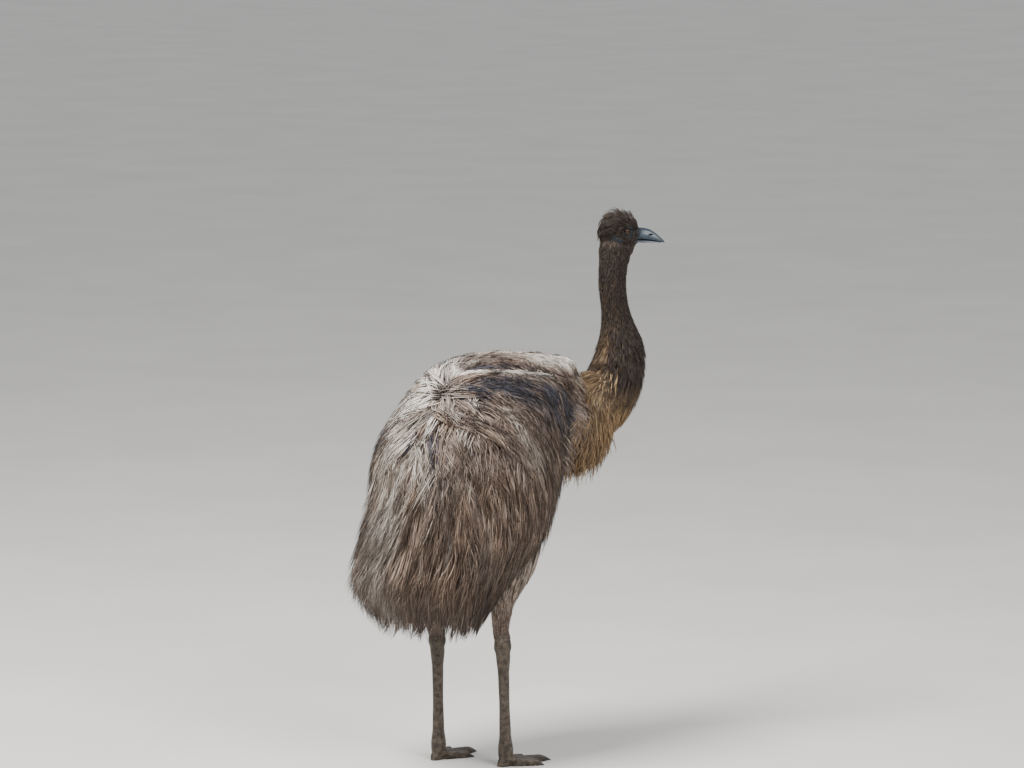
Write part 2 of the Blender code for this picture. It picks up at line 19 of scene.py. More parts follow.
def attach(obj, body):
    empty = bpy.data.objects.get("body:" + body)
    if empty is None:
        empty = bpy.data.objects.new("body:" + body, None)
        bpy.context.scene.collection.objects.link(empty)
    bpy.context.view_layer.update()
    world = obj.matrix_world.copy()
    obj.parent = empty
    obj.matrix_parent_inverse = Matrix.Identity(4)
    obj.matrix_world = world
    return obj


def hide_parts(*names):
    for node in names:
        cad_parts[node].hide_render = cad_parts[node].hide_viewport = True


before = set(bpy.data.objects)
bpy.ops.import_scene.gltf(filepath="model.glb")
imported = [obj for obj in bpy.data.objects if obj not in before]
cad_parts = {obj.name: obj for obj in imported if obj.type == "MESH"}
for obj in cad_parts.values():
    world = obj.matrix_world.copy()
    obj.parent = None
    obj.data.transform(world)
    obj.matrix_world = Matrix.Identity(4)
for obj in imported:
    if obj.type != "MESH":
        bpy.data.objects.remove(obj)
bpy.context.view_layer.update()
draw = np.random.default_rng(17)

# ---------------------------------------------------------------- sizes of the bird
SHIFT = Vector((-0.129, 0.002, 0.0))
# Height, middle along X, half length, half width at nine levels
CORE = (
    (1.218, 0.135, 0.185, 0.020),
    (1.196, 0.115, 0.240, 0.080),
    (1.134, 0.075, 0.268, 0.136),
    (1.030, 0.035, 0.262, 0.168),
    (0.940, 0.005, 0.262, 0.190),
    (0.850, -0.015, 0.243, 0.192),
    (0.760, -0.035, 0.205, 0.168),
    (0.685, -0.050, 0.150, 0.120),
    (0.645, -0.060, 0.080, 0.065),
)
COAT = (
    (1.240, 0.140, 0.205, 0.022),
    (1.224, 0.125, 0.268, 0.082),
    (1.168, 0.090, 0.298, 0.146),
    (1.075, 0.030, 0.297, 0.208),
    (0.965, -0.022, 0.303, 0.252),
    (0.835, -0.050, 0.292, 0.267),
    (0.700, -0.088, 0.300, 0.262),
    (0.550, -0.185, 0.250, 0.222),
    (0.408, -0.182, 0.125, 0.160),
)
BODY_SQUARENESS = 2.1
BACK_PEAK = 0.070
BACK_ARCH = 0.045
# Levels above the first one, where vanes start from the middle of the back
PARTING = 0.07
# The parting lies over on the bird's right: its turns from the front and levels there,
# how deep the coat dips into it and how wide the dip is, in levels
PARTING_TURNS = (0.0, 0.86, 1.13, 1.41, 1.68, 2.08, 2.58, 3.0)
PARTING_LEVELS = (0.235, 0.225, 0.205, 0.178, 0.155, 0.128, 0.110, 0.0)
PARTING_DIP = 0.019
PARTING_WIDTH = 0.032
# X, height, half depth, half width from inside the chest to the skull
NECK = (
    (0.200, 0.980, 0.125, 0.115),
    (0.340, 0.990, 0.130, 0.125),
    (0.430, 1.035, 0.105, 0.100),
    (0.515, 1.065, 0.094, 0.088),
    (0.560, 1.130, 0.084, 0.080),
    (0.573, 1.200, 0.074, 0.070),
    (0.565, 1.265, 0.052, 0.050),
    (0.552, 1.330, 0.040, 0.038),
    (0.542, 1.400, 0.040, 0.038),
    (0.547, 1.470, 0.042, 0.039),
    (0.552, 1.525, 0.036, 0.034),
    (0.556, 1.560, 0.018, 0.018),
)
NECK_TOP_TURN = 0.010
HEAD_TURN = math.radians(-40)
SKULL_MIDDLE = Vector((0.567, 0.0, 1.554))
# X from the skull's middle, middle, half height, half width
SKULL = (
    (-0.058, -0.004, 0.010, 0.010),
    (-0.052, -0.003, 0.022, 0.021),
    (-0.035, -0.001, 0.033, 0.030),
    (-0.010, 0.000, 0.038, 0.034),
    (0.015, -0.001, 0.036, 0.033),
    (0.038, -0.002, 0.030, 0.026),
    (0.058, -0.002, 0.024, 0.018),
    (0.072, -0.002, 0.020, 0.013),
)
EYE_RADIUS = 0.0115
EYE_PLACE = Vector((0.024, 0.0225, 0.009))
EAR_PLACE = Vector((-0.018, 0.0335, -0.008))
# X, Y, height, half depth, half width down to the hock
DRUMSTICKS = {
    "right": (
        (0.105, -0.118, 0.830, 0.085, 0.060),
        (0.090, -0.120, 0.720, 0.086, 0.060),
        (0.055, -0.116, 0.610, 0.066, 0.052),
        (0.020, -0.110, 0.510, 0.038, 0.034),
        (0.014, -0.104, 0.430, 0.026, 0.024),
        (0.024, -0.100, 0.385, 0.025, 0.022),
    ),
    "left": (
        (0.000, 0.118, 0.830, 0.085, 0.060),
        (-0.015, 0.120, 0.720, 0.082, 0.060),
        (-0.040, 0.116, 0.610, 0.064, 0.052),
        (-0.068, 0.110, 0.510, 0.038, 0.034),
        (-0.074, 0.104, 0.430, 0.026, 0.024),
        (-0.064, 0.100, 0.385, 0.025, 0.022),
    ),
}
PAD_HEIGHT = 0.026
FEET = {"right": Vector((0.036, -0.100, 0.0)), "left": Vector((-0.060, 0.100, 0.0))}
FOOT_TURN = {"right": math.radians(-8), "left": math.radians(4)}
# Share of the way down, half depth, half width
SHANK = (
    (0.000, 0.026, 0.023),
    (0.060, 0.029, 0.026),
    (0.130, 0.023, 0.020),
    (0.300, 0.018, 0.0155),
    (0.550, 0.0165, 0.0145),
    (0.800, 0.0185, 0.0165),
    (0.940, 0.023, 0.023),
    (1.000, 0.021, 0.024),
)
# Turn from the foot's own way, length, half width at the root and at the tip
TOES = {
    "inner": (math.radians(27), 0.098, 0.0145, 0.0105),
    "middle": (0.0, 0.142, 0.0175, 0.0125),
    "outer": (math.radians(-27), 0.104, 0.0145, 0.0105),
}
TOE_START = {"inner": 0.022, "middle": -0.028, "outer": 0.022}
TOE_HEIGHT = 0.030
CLAW_LENGTH = {"inner": 0.029, "middle": 0.031, "outer": 0.026}
TOE_SQUARENESS = 2.6
BALL_PLACE = Vector((0.006, 0, 0.024))
BALL_SIZE = (0.024, 0.024, 0.018)


# ---------------------------------------------------------------- small helpers
SIDEWAYS = np.array((0.0, 1.0, 0.0))
# Rows: the head's own ahead, left and up
HEAD_AXES = np.array(
    (
        (math.cos(HEAD_TURN), math.sin(HEAD_TURN), 0),
        (-math.sin(HEAD_TURN), math.cos(HEAD_TURN), 0),
        (0, 0, 1),
    )
)
SKULL_PLACE = np.array(SKULL_MIDDLE + SHIFT)
NECK_TUBE = np.insert(NECK, 1, 0.0, axis=1)


def mix(a, b, share):
    return a + (b - a) * share


def ramp(value, start, end):
    """How far value has come from start (0) to end (1), held at both."""
    return np.clip((value - start) / (end - start), 0, 1)


def bump(place, middle, spread):
    return np.exp(-(((place - middle) / spread) ** 2))


def unit(vectors):
    return vectors / (np.linalg.norm(vectors, axis=-1, keepdims=True) + 1e-12)


def pairs(first, second):
    return np.stack([first, second], axis=-1)


def share_round(angle):
    return np.mod(angle, math.tau) / math.tau


def rows_at(rows, t):
    """Sizes at t, a number or an array, on a smooth curve through evenly spaced rows."""
    rows = np.asarray(rows, float)
    place = np.clip(np.atleast_1d(np.asarray(t, float)), 0, 1) * (len(rows) - 1)
    i = np.minimum(place.astype(int), len(rows) - 2)
    k = (place - i)[..., None]
    a, b, c, d = (rows[np.clip(i + step, 0, len(rows) - 1)] for step in (-1, 0, 1, 2))
    curve = 2 * b + (c - a) * k + (2 * a - 5 * b + 4 * c - d) * k**2
    return (curve + (3 * b - a - 3 * c + d) * k**3) / 2


def rounded(value, squareness):
    return np.sign(value) * np.abs(value) ** (2 / squareness)


def from_front(phi):
    """How far round the body from its front, either way."""
    return np.abs(np.mod(phi + math.pi, math.tau) - math.pi)


def over_parting(q, phi):
    """Levels below the parting, less than 0 above it. Only the bird's right has one."""
    level = np.interp(from_front(phi), PARTING_TURNS, PARTING_LEVELS)
    return q - level * np.clip(-3 * np.sin(phi), 0, 1)


def body_at(q, phi, reach):
    """Points of the body between its core and the tips of its coat."""
    sizes = mix(rows_at(CORE, q), rows_at(COAT, q), np.asarray(reach)[..., None])
    x = sizes[..., 1] + sizes[..., 2] * rounded(np.cos(phi), BODY_SQUARENESS)
    y = sizes[..., 3] * rounded(np.sin(phi), BODY_SQUARENESS) * np.clip(1 + q / PARTING, 0.0, 1.0)
    arch = BACK_ARCH * ((x - BACK_PEAK) / 0.3) ** 2
    z = sizes[..., 0] - arch * np.maximum(0.0, 1 - 1.6 * q) ** 2
    # The coat dips into the parting, ahead of the whorl only
    dip = bump(over_parting(q, phi), 0, PARTING_WIDTH) * ramp(x, -0.20, -0.12)
    return np.stack([x, y, z - PARTING_DIP * np.clip(reach, 0, 1) * dip], axis=-1) + np.array(SHIFT)


def limb_at(rows, t, angle, lift, lean=0.0, upward=False):
    """Points round a limb given by rows of X, Y, height, half depth and half width."""
    sizes = rows_at(rows, t)
    slope = rows_at(rows, np.asarray(t) + 0.02) - rows_at(rows, np.asarray(t) - 0.02)
    along = unit(slope[..., :3] * (1, 0, 1)) * (-1 if upward else 1)
    centre = sizes[..., :3] + np.array(SHIFT)
    centre[..., 1] += lean
    ahead = np.cross(along, SIDEWAYS) * ((sizes[..., 3] + lift) * np.cos(angle))[..., None]
    return centre + ahead + SIDEWAYS * ((sizes[..., 4] + lift) * np.sin(angle))[..., None]


def neck_at(t, angle, lift):
    lean = NECK_TOP_TURN * np.maximum(0.0, (np.asarray(t) - 0.7) / 0.3) ** 2
    return limb_at(NECK_TUBE, t, angle, lift, lean, upward=True)


def head_way(directions):
    """Those directions of the head, where ahead is to the bill, as directions of the frame."""
    return np.asarray(directions, float) @ HEAD_AXES


def turned_to_head(points):
    return head_way(points) + SKULL_PLACE


def from_head(points):
    """Those points as the head has them: X to the bill, Y to its left, Z up."""
    return (points - SKULL_PLACE) @ HEAD_AXES.T


def head_at(t, angle, lift):
    """Points of the skull from nape to brow: angle 0 is up, then turning to its right."""
    sizes = rows_at(SKULL, t)
    x = sizes[..., 0] + 0 * angle
    y = -(sizes[..., 3] + lift) * np.sin(angle)
    z = sizes[..., 1] + (sizes[..., 2] + lift) * np.cos(angle)
    return turned_to_head(np.stack([x, y, z], axis=-1))


def mirrored(place, hand):
    """A place of the head on its left, where hand is 1, or its right, where it is -1."""
    return Vector((place.x, hand * place.y, place.z))


def linear(hex_colour):
    """An sRGB hex colour as a linear colour with full alpha."""
    parts = [int(hex_colour[i : i + 2], 16) / 255 for i in (1, 3, 5)]
    return tuple(p / 12.92 if p <= 0.04045 else ((p + 0.055) / 1.055) ** 2.4 for p in parts) + (1.0,)


# ---------------------------------------------------------------- materials
# The Mix node's sockets for colours
HUE_A, HUE_B, HUE_OUT = 6, 7, 2


def fit(material, node, inputs):
    """Sets each input of the node to its value, or links it where that is an output."""
    for key, value in inputs.items():
        if isinstance(value, bpy.types.NodeSocket):
            material.node_tree.links.new(value, node.inputs[key])
        else:
            node.inputs[key].default_value = value


def add(material, kind, inputs=None, stops=(), **settings):
    """A node of that kind with its settings and inputs; stops are a ramp's places and hues."""
    made = material.node_tree.nodes.new("ShaderNode" + kind)
    for name, value in settings.items():
        setattr(made, name, value)
    for i, (place, hue) in enumerate(stops):
        marks = made.color_ramp.elements
        mark = marks[i] if i < len(marks) else marks.new(place)
        mark.position, mark.color = place, linear(hue)
    fit(material, made, inputs or {})
    return made


def new_material(name, **sockets):
    """A Principled material; plain numbers are set on the shader's own sockets."""
    made = bpy.data.materials.new(name)
    made.use_nodes = True
    shader = made.node_tree.nodes["Principled BSDF"]
    fit(made, shader, {key.replace("_", " "): value for key, value in sockets.items()})
    return made, shader


def barbed_feather(name, hues, tip, root, patch, streak, low, high):
    """Keratin feather: loose barbs grown in tufts, which look like dry shaggy hair.

    The tone attribute holds how far down its vane a point is, the vane's own shade and the
    bird's marking there, which on the body holds painted shade and painted highlights as well
    as the bird's own pattern. hues run from the darkest vane to the palest; tip and root
    darken the two ends, the tip with its worn colour and the root with painted shade; patch
    is a second hue that comes and goes in hand-sized areas; streak the rare bleached vane;
    low and high are the hues of the markings 0 and 1.
    """
    made, shader = new_material(name, Roughness=0.60, IOR=1.54, Specular_IOR_Level=0.35)
    tone = add(made, "Attribute", attribute_name="tone").outputs["Vector"]
    down, shade, marking = add(made, "SeparateXYZ", {"Vector": tone}).outputs
    place = add(made, "TexCoord").outputs["Object"]
    steps = [(i / (len(hues) - 1), hue) for i, hue in enumerate(hues)]
    hue = add(made, "ValToRGB", {"Fac": shade}, steps).outputs["Color"]
    # Areas about 150 mm across, each a little warmer or cooler than the next
    area = add(made, "TexNoise", {"Vector": place, "Scale": 6.0, "Detail": 2.0}).outputs["Fac"]
    # Laid over it in turn, with where each starts and ends and how much it covers: those
    # areas, one bleached vane in twelve, and the dark and the pale markings
    for value, start, end, most, cover in (
        (area, 0.42, 0.68, 0.6, patch),
        (shade, 0.90, 0.95, 0.4, streak),
        (marking, 0.5, 0.0, 0.9, low),
        (marking, 0.5, 1.0, 0.9, high),
    ):
        span = {"Value": value, "From Min": start, "From Max": end, "To Max": most}
        share = add(made, "MapRange", span).outputs["Result"]
        layers = {"Factor": share, HUE_A: hue, HUE_B: linear(cover)}
        hue = add(made, "Mix", layers, data_type="RGBA").outputs[HUE_OUT]
    # Dark at the root, where the light does not reach, and at the worn tip
    steps = [(0.0, root), (0.35, "#FFFFFF"), (0.76, "#FFFFFF"), (0.93, tip)]
    ends = add(made, "ValToRGB", {"Fac": down}, steps).outputs["Color"]
    layers = {"Factor": 1.0, HUE_A: hue, HUE_B: ends}
    shaded = add(made, "Mix", layers, data_type="RGBA", blend_type="MULTIPLY")
    # Barbs every 1.5 mm across the vane, coarser than real so that they show
    barbs = add(made, "TexNoise", {"Vector": place, "Scale": 650.0, "Detail": 1.0}).outputs["Fac"]
    relief = add(made, "Bump", {"Height": barbs, "Strength": 0.35, "Distance": 0.0006})
    fit(made, shader, {"Base Color": shaded.outputs[HUE_OUT], "Normal": relief.outputs["Normal"]})
    return made


def bare_skin(name, low, high, fold_mm, roughness, depth=0.0006):
    """Living skin, matte and finely creased, and darker in the creases."""
    made, shader = new_material(name, Roughness=roughness, IOR=1.42, Specular_IOR_Level=0.4)
    place = add(made, "TexCoord").outputs["Object"]
    net = {"Vector": place, "Scale": 1000 / fold_mm}
    creases = add(made, "TexVoronoi", net, feature="DISTANCE_TO_EDGE").outputs["Distance"]
    # Blotches about 14 mm across
    blush = add(made, "TexNoise", {"Vector": place, "Scale": 70.0, "Detail": 4.0}).outputs["Fac"]
    hue = add(made, "ValToRGB", {"Fac": blush}, [(0.36, low), (0.64, high)]).outputs["Color"]
    span = {"Value": creases, "From Max": 0.12, "To Min": 0.45, "To Max": 1.0}
    darker_in_creases = add(made, "MapRange", span).outputs["Result"]
    layers = {"Factor": 1.0, HUE_A: hue, HUE_B: darker_in_creases}
    shaded = add(made, "Mix", layers, data_type="RGBA", blend_type="MULTIPLY")
    relief = add(made, "Bump", {"Height": creases, "Strength": 0.5, "Distance": depth})
    fit(made, shader, {"Base Color": shaded.outputs[HUE_OUT], "Normal": relief.outputs["Normal"]})
    return made


def grown_horn(name, dark, light, line_mm, roughness, coat=0.0, turn=0.0):
    """Horn laid down in thin layers: satin, with faint growth lines that run forward,
    or turned that far from forward."""
    made, shader = new_material(name, IOR=1.55, Coat_Weight=coat, Coat_Roughness=0.18)
    place = add(made, "TexCoord").outputs["Object"]
    # Lines seven times as long as they are wide, in clouds about 17 mm across
    drawn_out = {"Vector": place, "Rotation": (0, 0, turn), "Scale": (7, 1, 1)}
    ahead = add(made, "Mapping", drawn_out, vector_type="TEXTURE").outputs["Vector"]
    fine = {"Vector": ahead, "Scale": 1000 / line_mm, "Detail": 3.0}
    lines = add(made, "TexNoise", fine).outputs["Fac"]
    cloud = add(made, "TexNoise", {"Vector": place, "Scale": 60.0, "Detail": 3.0}).outputs["Fac"]
    both = add(made, "Mix", {"Factor": 0.5, "A": lines, "B": cloud}).outputs["Result"]
    hue = add(made, "ValToRGB", {"Fac": both}, [(0.34, dark), (0.66, light)])
    span = {"Value": cloud, "To Min": roughness - 0.08, "To Max": roughness + 0.12}
    relief = add(made, "Bump", {"Height": lines, "Strength": 0.25, "Distance": 0.0004})
    finish = {
        "Base Color": hue.outputs["Color"],
        "Roughness": add(made, "MapRange", span).outputs["Result"],
        "Normal": relief.outputs["Normal"],
    }
    fit(made, shader, finish)
    return made


def wet_eye():
    """A wet eye: brown iris round a black pupil under a clear, mirror-smooth coat."""
    made, shader = new_material(
        "wet_brown_eye", Roughness=0.2, Specular_IOR_Level=0.1, Coat_Weight=0.6, Coat_Roughness=0.02
    )
    # From the pupil's middle over the iris and its dark rim to the white, which is dark
    steps = (
        (0.00, "#050405"),
        (0.34, "#050405"),
        (0.38, "#2A150B"),
        (0.62, "#482817"),
        (0.76, "#1A0D07"),
        (0.82, "#17110F"),
        (1.00, "#2B2422"),
    )
    ring = add(made, "Attribute", attribute_name="iris").outputs["Fac"]
    fit(made, shader, {"Base Color": add(made, "ValToRGB", {"Fac": ring}, steps).outputs["Color"]})
    return made


def pale_studio_floor():
    """Matte pale board, just uneven enough that the light does not look flat on it."""
    made, shader = new_material("pale_matte_board", Roughness=0.9, IOR=1.45)
    place = add(made, "TexCoord").outputs["Object"]
    cloud = add(made, "TexNoise", {"Vector": place, "Scale": 1.5, "Detail": 3.0}).outputs["Fac"]
    hue = add(made, "ValToRGB", {"Fac": cloud}, [(0.3, "#CFCBC4"), (0.7, "#D6D2CB")])
    fit(made, shader, {"Base Color": hue.outputs["Color"]})
    return made


# ---------------------------------------------------------------- modelling steps
def select_only(*pieces):
    """Selects just these pieces, or nothing, with the first as the one worked on."""
    bpy.ops.object.select_all(action="DESELECT")
    for piece in pieces:
        piece.select_set(True)
    if pieces:
        bpy.context.view_layer.objects.active = pieces[0]


def turn_faces_out():
    """Turns the faces of the piece worked on outwards."""
    bpy.ops.object.mode_set(mode="EDIT")
    bpy.ops.mesh.select_all(action="SELECT")
    bpy.ops.mesh.normals_make_consistent(inside=False)
    bpy.ops.object.mode_set(mode="OBJECT")


def grown_tube(name, rings):
    """A closed tube: a disc pulled out ring by ring, each ring laid at its place."""
    select_only()
    bpy.ops.mesh.primitive_circle_add(vertices=len(rings[0]), radius=0.1, fill_type="NGON")
    tube = bpy.context.object
    tube.name = name
    bpy.ops.object.mode_set(mode="EDIT")
    for i, ring in enumerate(rings):
        if i:
            bpy.ops.mesh.extrude_region_move()
        shape = bmesh.from_edit_mesh(tube.data)
        end = next(face for face in shape.faces if face.select)
        for vert, place in zip(end.verts, ring):
            vert.co = place
        bmesh.update_edit_mesh(tube.data)
    turn_faces_out()
    return tube


def pebble(name, place, size, turn=0.0, segments=24, rings=16):
    """A rounded lump of that half size."""
    select_only()
    bpy.ops.mesh.primitive_uv_sphere_add(segments=segments, ring_count=rings, radius=1)
    made = bpy.context.object
    made.name, made.location, made.scale = name, place, size
    made.rotation_euler.z = turn
    bpy.ops.object.transform_apply(location=True, rotation=True, scale=True)
    return made


def head_pebble(name, place, size, hand=1, **fineness):
    """A rounded lump on one side of the head, turned with it."""
    return pebble(name, Vector(turned_to_head(mirrored(place, hand))), size, HEAD_TURN, **fineness)


def modifier(piece, kind, **settings):
    """Adds a modifier with its settings and makes it part of the shape."""
    select_only(piece)
    bpy.ops.object.modifier_add(type=kind)
    step = piece.modifiers[-1]
    for key, value in settings.items():
        setattr(step, key, value)
    bpy.ops.object.modifier_apply(modifier=step.name)
    return piece


def combined(piece, others, operation):
    """The piece with the others added to it (UNION) or cut out of it (DIFFERENCE)."""
    for other in others:
        modifier(piece, "BOOLEAN", operation=operation, solver="MANIFOLD", object=other)
        bpy.data.objects.remove(other)
    return piece


def joined(parts, name):
    """The parts as shells of one mesh."""
    if len(parts) > 1:
        select_only(*parts)
        bpy.ops.object.join()
    parts[0].name = name
    return parts[0]


def fused(parts, name, voxel, rounds):
    """The parts melted into one skin with cells of that size, its steps smoothed away."""
    made = modifier(joined(parts, name), "REMESH", mode="VOXEL", voxel_size=voxel)
    return modifier(made, "SMOOTH", factor=0.5, iterations=rounds)


def points_of(piece, what="co"):
    """The place of each point of the piece, or its normal."""
    flat = np.empty(len(piece.data.vertices) * 3)
    piece.data.vertices.foreach_get(what, flat)
    return flat.reshape(-1, 3)


def move_points(piece, places):
    piece.data.vertices.foreach_set("co", places.ravel())
    piece.data.update()


def from_mesh(name, mesh):
    made = bpy.data.objects.new(name, mesh)
    bpy.context.scene.collection.objects.link(made)
    return made


def dressed(piece, name, materials, replaced=()):
    """Names the finished piece, gives it its materials and hands it to the frame."""
    piece.name = name
    piece.data.name = name
    piece.data.materials.clear()
    for material in materials:
        piece.data.materials.append(material)
    piece.data.shade_smooth()
    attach(piece, "root")
    if replaced:
        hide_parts(*replaced)
    return piece


# ---------------------------------------------------------------- the skin
RING = np.linspace(0, math.tau, 25)[:-1]
# How far the bare skin lies inside the solids, which reach out over the plumage's depth
NECK_SINK = 0.017
UPPER_NECK_SINK = 0.004
THIGH_SINK = 0.010
SKULL_SINK = 0.0015
BODY_SINK = 0.02
# Where along the neck and the thighs their coarser skin meets the finer one
NECK_JOIN = 0.80
THIGH_JOIN = 0.70
# Cell size and rounds of smoothing: coarse under the coat, finest on the face
HEAD_CELLS = (0.0015, 8)
LEG_CELLS = (0.0026, 4)
LIMB_CELLS = (0.0055, 2)
BODY_CELLS = (0.011, 3)
FACE_LUMPS = {
    "brow": (Vector((0.026, 0.0215, 0.0205)), (0.021, 0.0075, 0.0055)),
    "jowl": (Vector((-0.004, 0.0240, -0.0160)), (0.023, 0.0090, 0.0130)),
    "rim": (Vector((0.052, 0.0120, -0.0120)), (0.022, 0.0075, 0.0045)),
}
# Lumps that fill the throat's curve from the chin down and the back of the nape
THROAT = (
    (Vector((0.045, 0.0, -0.019)), (0.018, 0.011, 0.011)),
    (Vector((0.034, 0.0, -0.024)), (0.021, 0.013, 0.018)),
    (Vector((0.021, 0.0, -0.043)), (0.023, 0.020, 0.026)),
    (Vector((0.008, 0.0, -0.070)), (0.024, 0.027, 0.036)),
    (Vector((-0.034, 0.0, -0.058)), (0.024, 0.027, 0.050)),
)
SOCKET_RADIUS = EYE_RADIUS + 0.0003
EYE_AHEAD, EYE_UP = 0.30, 0.06
EAR_SIZE = (0.0052, 0.0042, 0.0058)
EAR_RIM, EAR_RIM_WIDTH = 0.0012, 0.0022
# Ring-shaped folds round the eye: from where off it, and over what distance they fade
FOLD_SPACING, FOLD_HEIGHT = 0.0026, 0.00045
FOLD_START, FOLD_FADE = 0.0022, 0.007
CREASE_SPACING, CREASE_HEIGHT = 0.006, 0.0005
CHIN_LEVEL, CHIN_BACK = -0.022, -0.04
# How far the lids' edges lie from the eye's axis: at the corners, over and under it
LID_CORNER, LID_UPPER, LID_LOWER = 70, 52, 58
LID_HALF = np.radians(15)
# Heights where the skin's three finishes meet, out of sight under the feathers
FACE_LEVEL, SCALES_LEVEL = 1.42, 0.47


def neck_sink(t):
    return mix(NECK_SINK, UPPER_NECK_SINK, ramp(t, 0.46, 0.56))


def thigh_sink(t):
    return THIGH_SINK * ramp(t, 0.90, 0.75)


def neck_skin(name, low, high, steps):
    levels = np.linspace(low, high, steps)
    return grown_tube(name, [neck_at(np.full(len(RING), t), RING, -neck_sink(t)) for t in levels])


def thigh_skin(side, low, high):
    levels = [np.full(len(RING), t) for t in np.linspace(low, high, 18)]
    return grown_tube("thigh", [limb_at(DRUMSTICKS[side], t, RING, -thigh_sink(t)) for t in levels])


def fold_face(head):
    """Fine ring-shaped folds round the eyes, rims round the ears, creases down the throat."""
    local = from_head(points_of(head))
    heights = np.zeros(len(local))
    for hand in (1, -1):
        off_eye = np.linalg.norm(local - mirrored(EYE_PLACE, hand), axis=1) - EYE_RADIUS - FOLD_START
        fade = bump(off_eye, 0, FOLD_FADE) * (off_eye > 0)
        heights += FOLD_HEIGHT * fade * np.cos(math.tau * off_eye / FOLD_SPACING)
        off_ear = np.linalg.norm(local - mirrored(EAR_PLACE, hand), axis=1) - EAR_SIZE[0]
        heights += EAR_RIM * bump(off_ear, 0, EAR_RIM_WIDTH)
    throat = (local[:, 2] < CHIN_LEVEL) & (local[:, 0] > CHIN_BACK)
    wave = np.sin(local[:, 1] * math.tau / CREASE_SPACING + 3 * np.sin(local[:, 2] * 60))
    heights += throat * CREASE_HEIGHT * wave * ramp(local[:, 2], CHIN_LEVEL, CHIN_LEVEL - 0.01)
    move_points(head, points_of(head) + points_of(head, "normal") * heights[:, None])


def head_skin():
    shares = (0.0, 0.04, 0.1, 0.18, 0.27, 0.36, 0.46, 0.56, 0.66, 0.76, 0.86, 0.94, 1.0)
    skull = grown_tube("skull", [head_at(np.full(24, t), RING, -SKULL_SINK) for t in shares])
    parts = [skull, neck_skin("throat", NECK_JOIN - 0.02, 1.0, 10)]
    for hand in (1, -1):
        parts += [head_pebble(lump, *place_size, hand) for lump, place_size in FACE_LUMPS.items()]
    parts += [head_pebble("throat_lump", *place_size) for place_size in THROAT]
    head = fused(parts, "head_skin", *HEAD_CELLS)
    cutters = []
    for hand in (1, -1):
        cutters.append(head_pebble("socket", EYE_PLACE, (SOCKET_RADIUS,) * 3, hand))
        cutters.append(head_pebble("ear", EAR_PLACE, EAR_SIZE, hand))
    combined(head, cutters, "DIFFERENCE")
    fold_face(head)
    return head


def eye_axis(hand):
    return Vector((EYE_AHEAD, hand, EYE_UP)).normalized()


def lids(hand):
    """Both lids of one eye as a rounded rim that bounds an almond-shaped opening."""
    select_only()
    bpy.ops.mesh.primitive_torus_add(
        major_segments=40, minor_segments=10, major_radius=1.0, minor_radius=0.3
    )
    rim = bpy.context.object
    axis = eye_axis(hand)
    ahead = (Vector((1, 0, 0)) - axis * axis.x).normalized()
    up = axis.cross(ahead) * hand
    axis, ahead, up = (np.array(way) for way in (axis, ahead, up))
    co = points_of(rim)
    around = np.arctan2(co[:, 1], co[:, 0])
    section = np.arctan2(co[:, 2], np.hypot(co[:, 0], co[:, 1]) - 1.0)
    over_eye = np.where(np.sin(around) > 0, LID_UPPER, LID_LOWER)
    edge = np.radians(mix(LID_CORNER, over_eye, np.abs(np.sin(around)) ** 1.4))
    theta = edge + LID_HALF * (1 + np.cos(section))
    thick = 0.85 + 0.15 * np.cos(section)
    radius = EYE_RADIUS + 0.0006 + 0.0013 * np.sin(section) * thick
    sideways = np.cos(around)[:, None] * ahead + np.sin(around)[:, None] * up
    points = np.cos(theta)[:, None] * axis + np.sin(theta)[:, None] * sideways
    move_points(rim, turned_to_head(points * radius[:, None] + mirrored(EYE_PLACE, hand)))
    turn_faces_out()
    return modifier(rim, "SUBSURF", levels=1, render_levels=1)


def shank_half_sizes(share):
    """Half depth and half width of the shank at a share of the way down."""
    for low, high in zip(SHANK, SHANK[1:]):
        if share <= high[0]:
            k = (share - low[0]) / (high[0] - low[0])
            k = k * k * (3 - 2 * k)
            return mix(low[1], high[1], k), mix(low[2], high[2], k)
    return SHANK[-1][1:]


def shank_at(side, share, angle, lift):
    """A point round the shank, from under the hock to over the toes: angle 0 is ahead."""
    top = Vector(DRUMSTICKS[side][-1][:3]) + SHIFT
    foot = FEET[side] + Vector((0, 0, PAD_HEIGHT)) + SHIFT
    fore = (foot - top).cross(Vector(SIDEWAYS)).normalized()
    depth, width = shank_half_sizes(share)
    across = Vector(SIDEWAYS) * (width + lift) * math.sin(angle)
    return mix(top, foot, share) + fore * (depth + lift) * math.cos(angle) + across


def toe_heading(side, kind):
    turn = TOES[kind][0] * (1 if side == "right" else -1) + FOOT_TURN[side]
    return Vector((math.cos(turn), math.sin(turn), 0))


def toe_sizes(kind, t):
    """Distance from the foot, height and half width of a toe at t, with a pad per joint."""
    _, length, root, tip = TOES[kind]
    pad = 1 + 0.07 * math.cos(math.tau * 3 * t)
    end = math.sqrt(max(0.06, 1 - max(0, (t - 0.86) / 0.15) ** 2))
    if kind == "middle":
        end *= math.sqrt(max(0.05, 1 - max(0, (0.13 - t) / 0.13) ** 2))
    x = mix(TOE_START[kind], length, t)
    return x, mix(TOE_HEIGHT, TOE_HEIGHT * 0.62, t) * end, mix(root, tip, t) * pad * end


def toe_at(side, kind, x, height, width, angle):
    """A point round a toe, which lies flat on the floor and is rounded above."""
    heading = toe_heading(side, kind)
    across = Vector((-heading.y, heading.x, 0))
    up = height * (0.42 + 0.58 * float(rounded(math.sin(angle), TOE_SQUARENESS)))
    aside = width * float(rounded(math.cos(angle), TOE_SQUARENESS))
    return FEET[side] + SHIFT + heading * x + across * aside + Vector((0, 0, max(up, 0.0)))


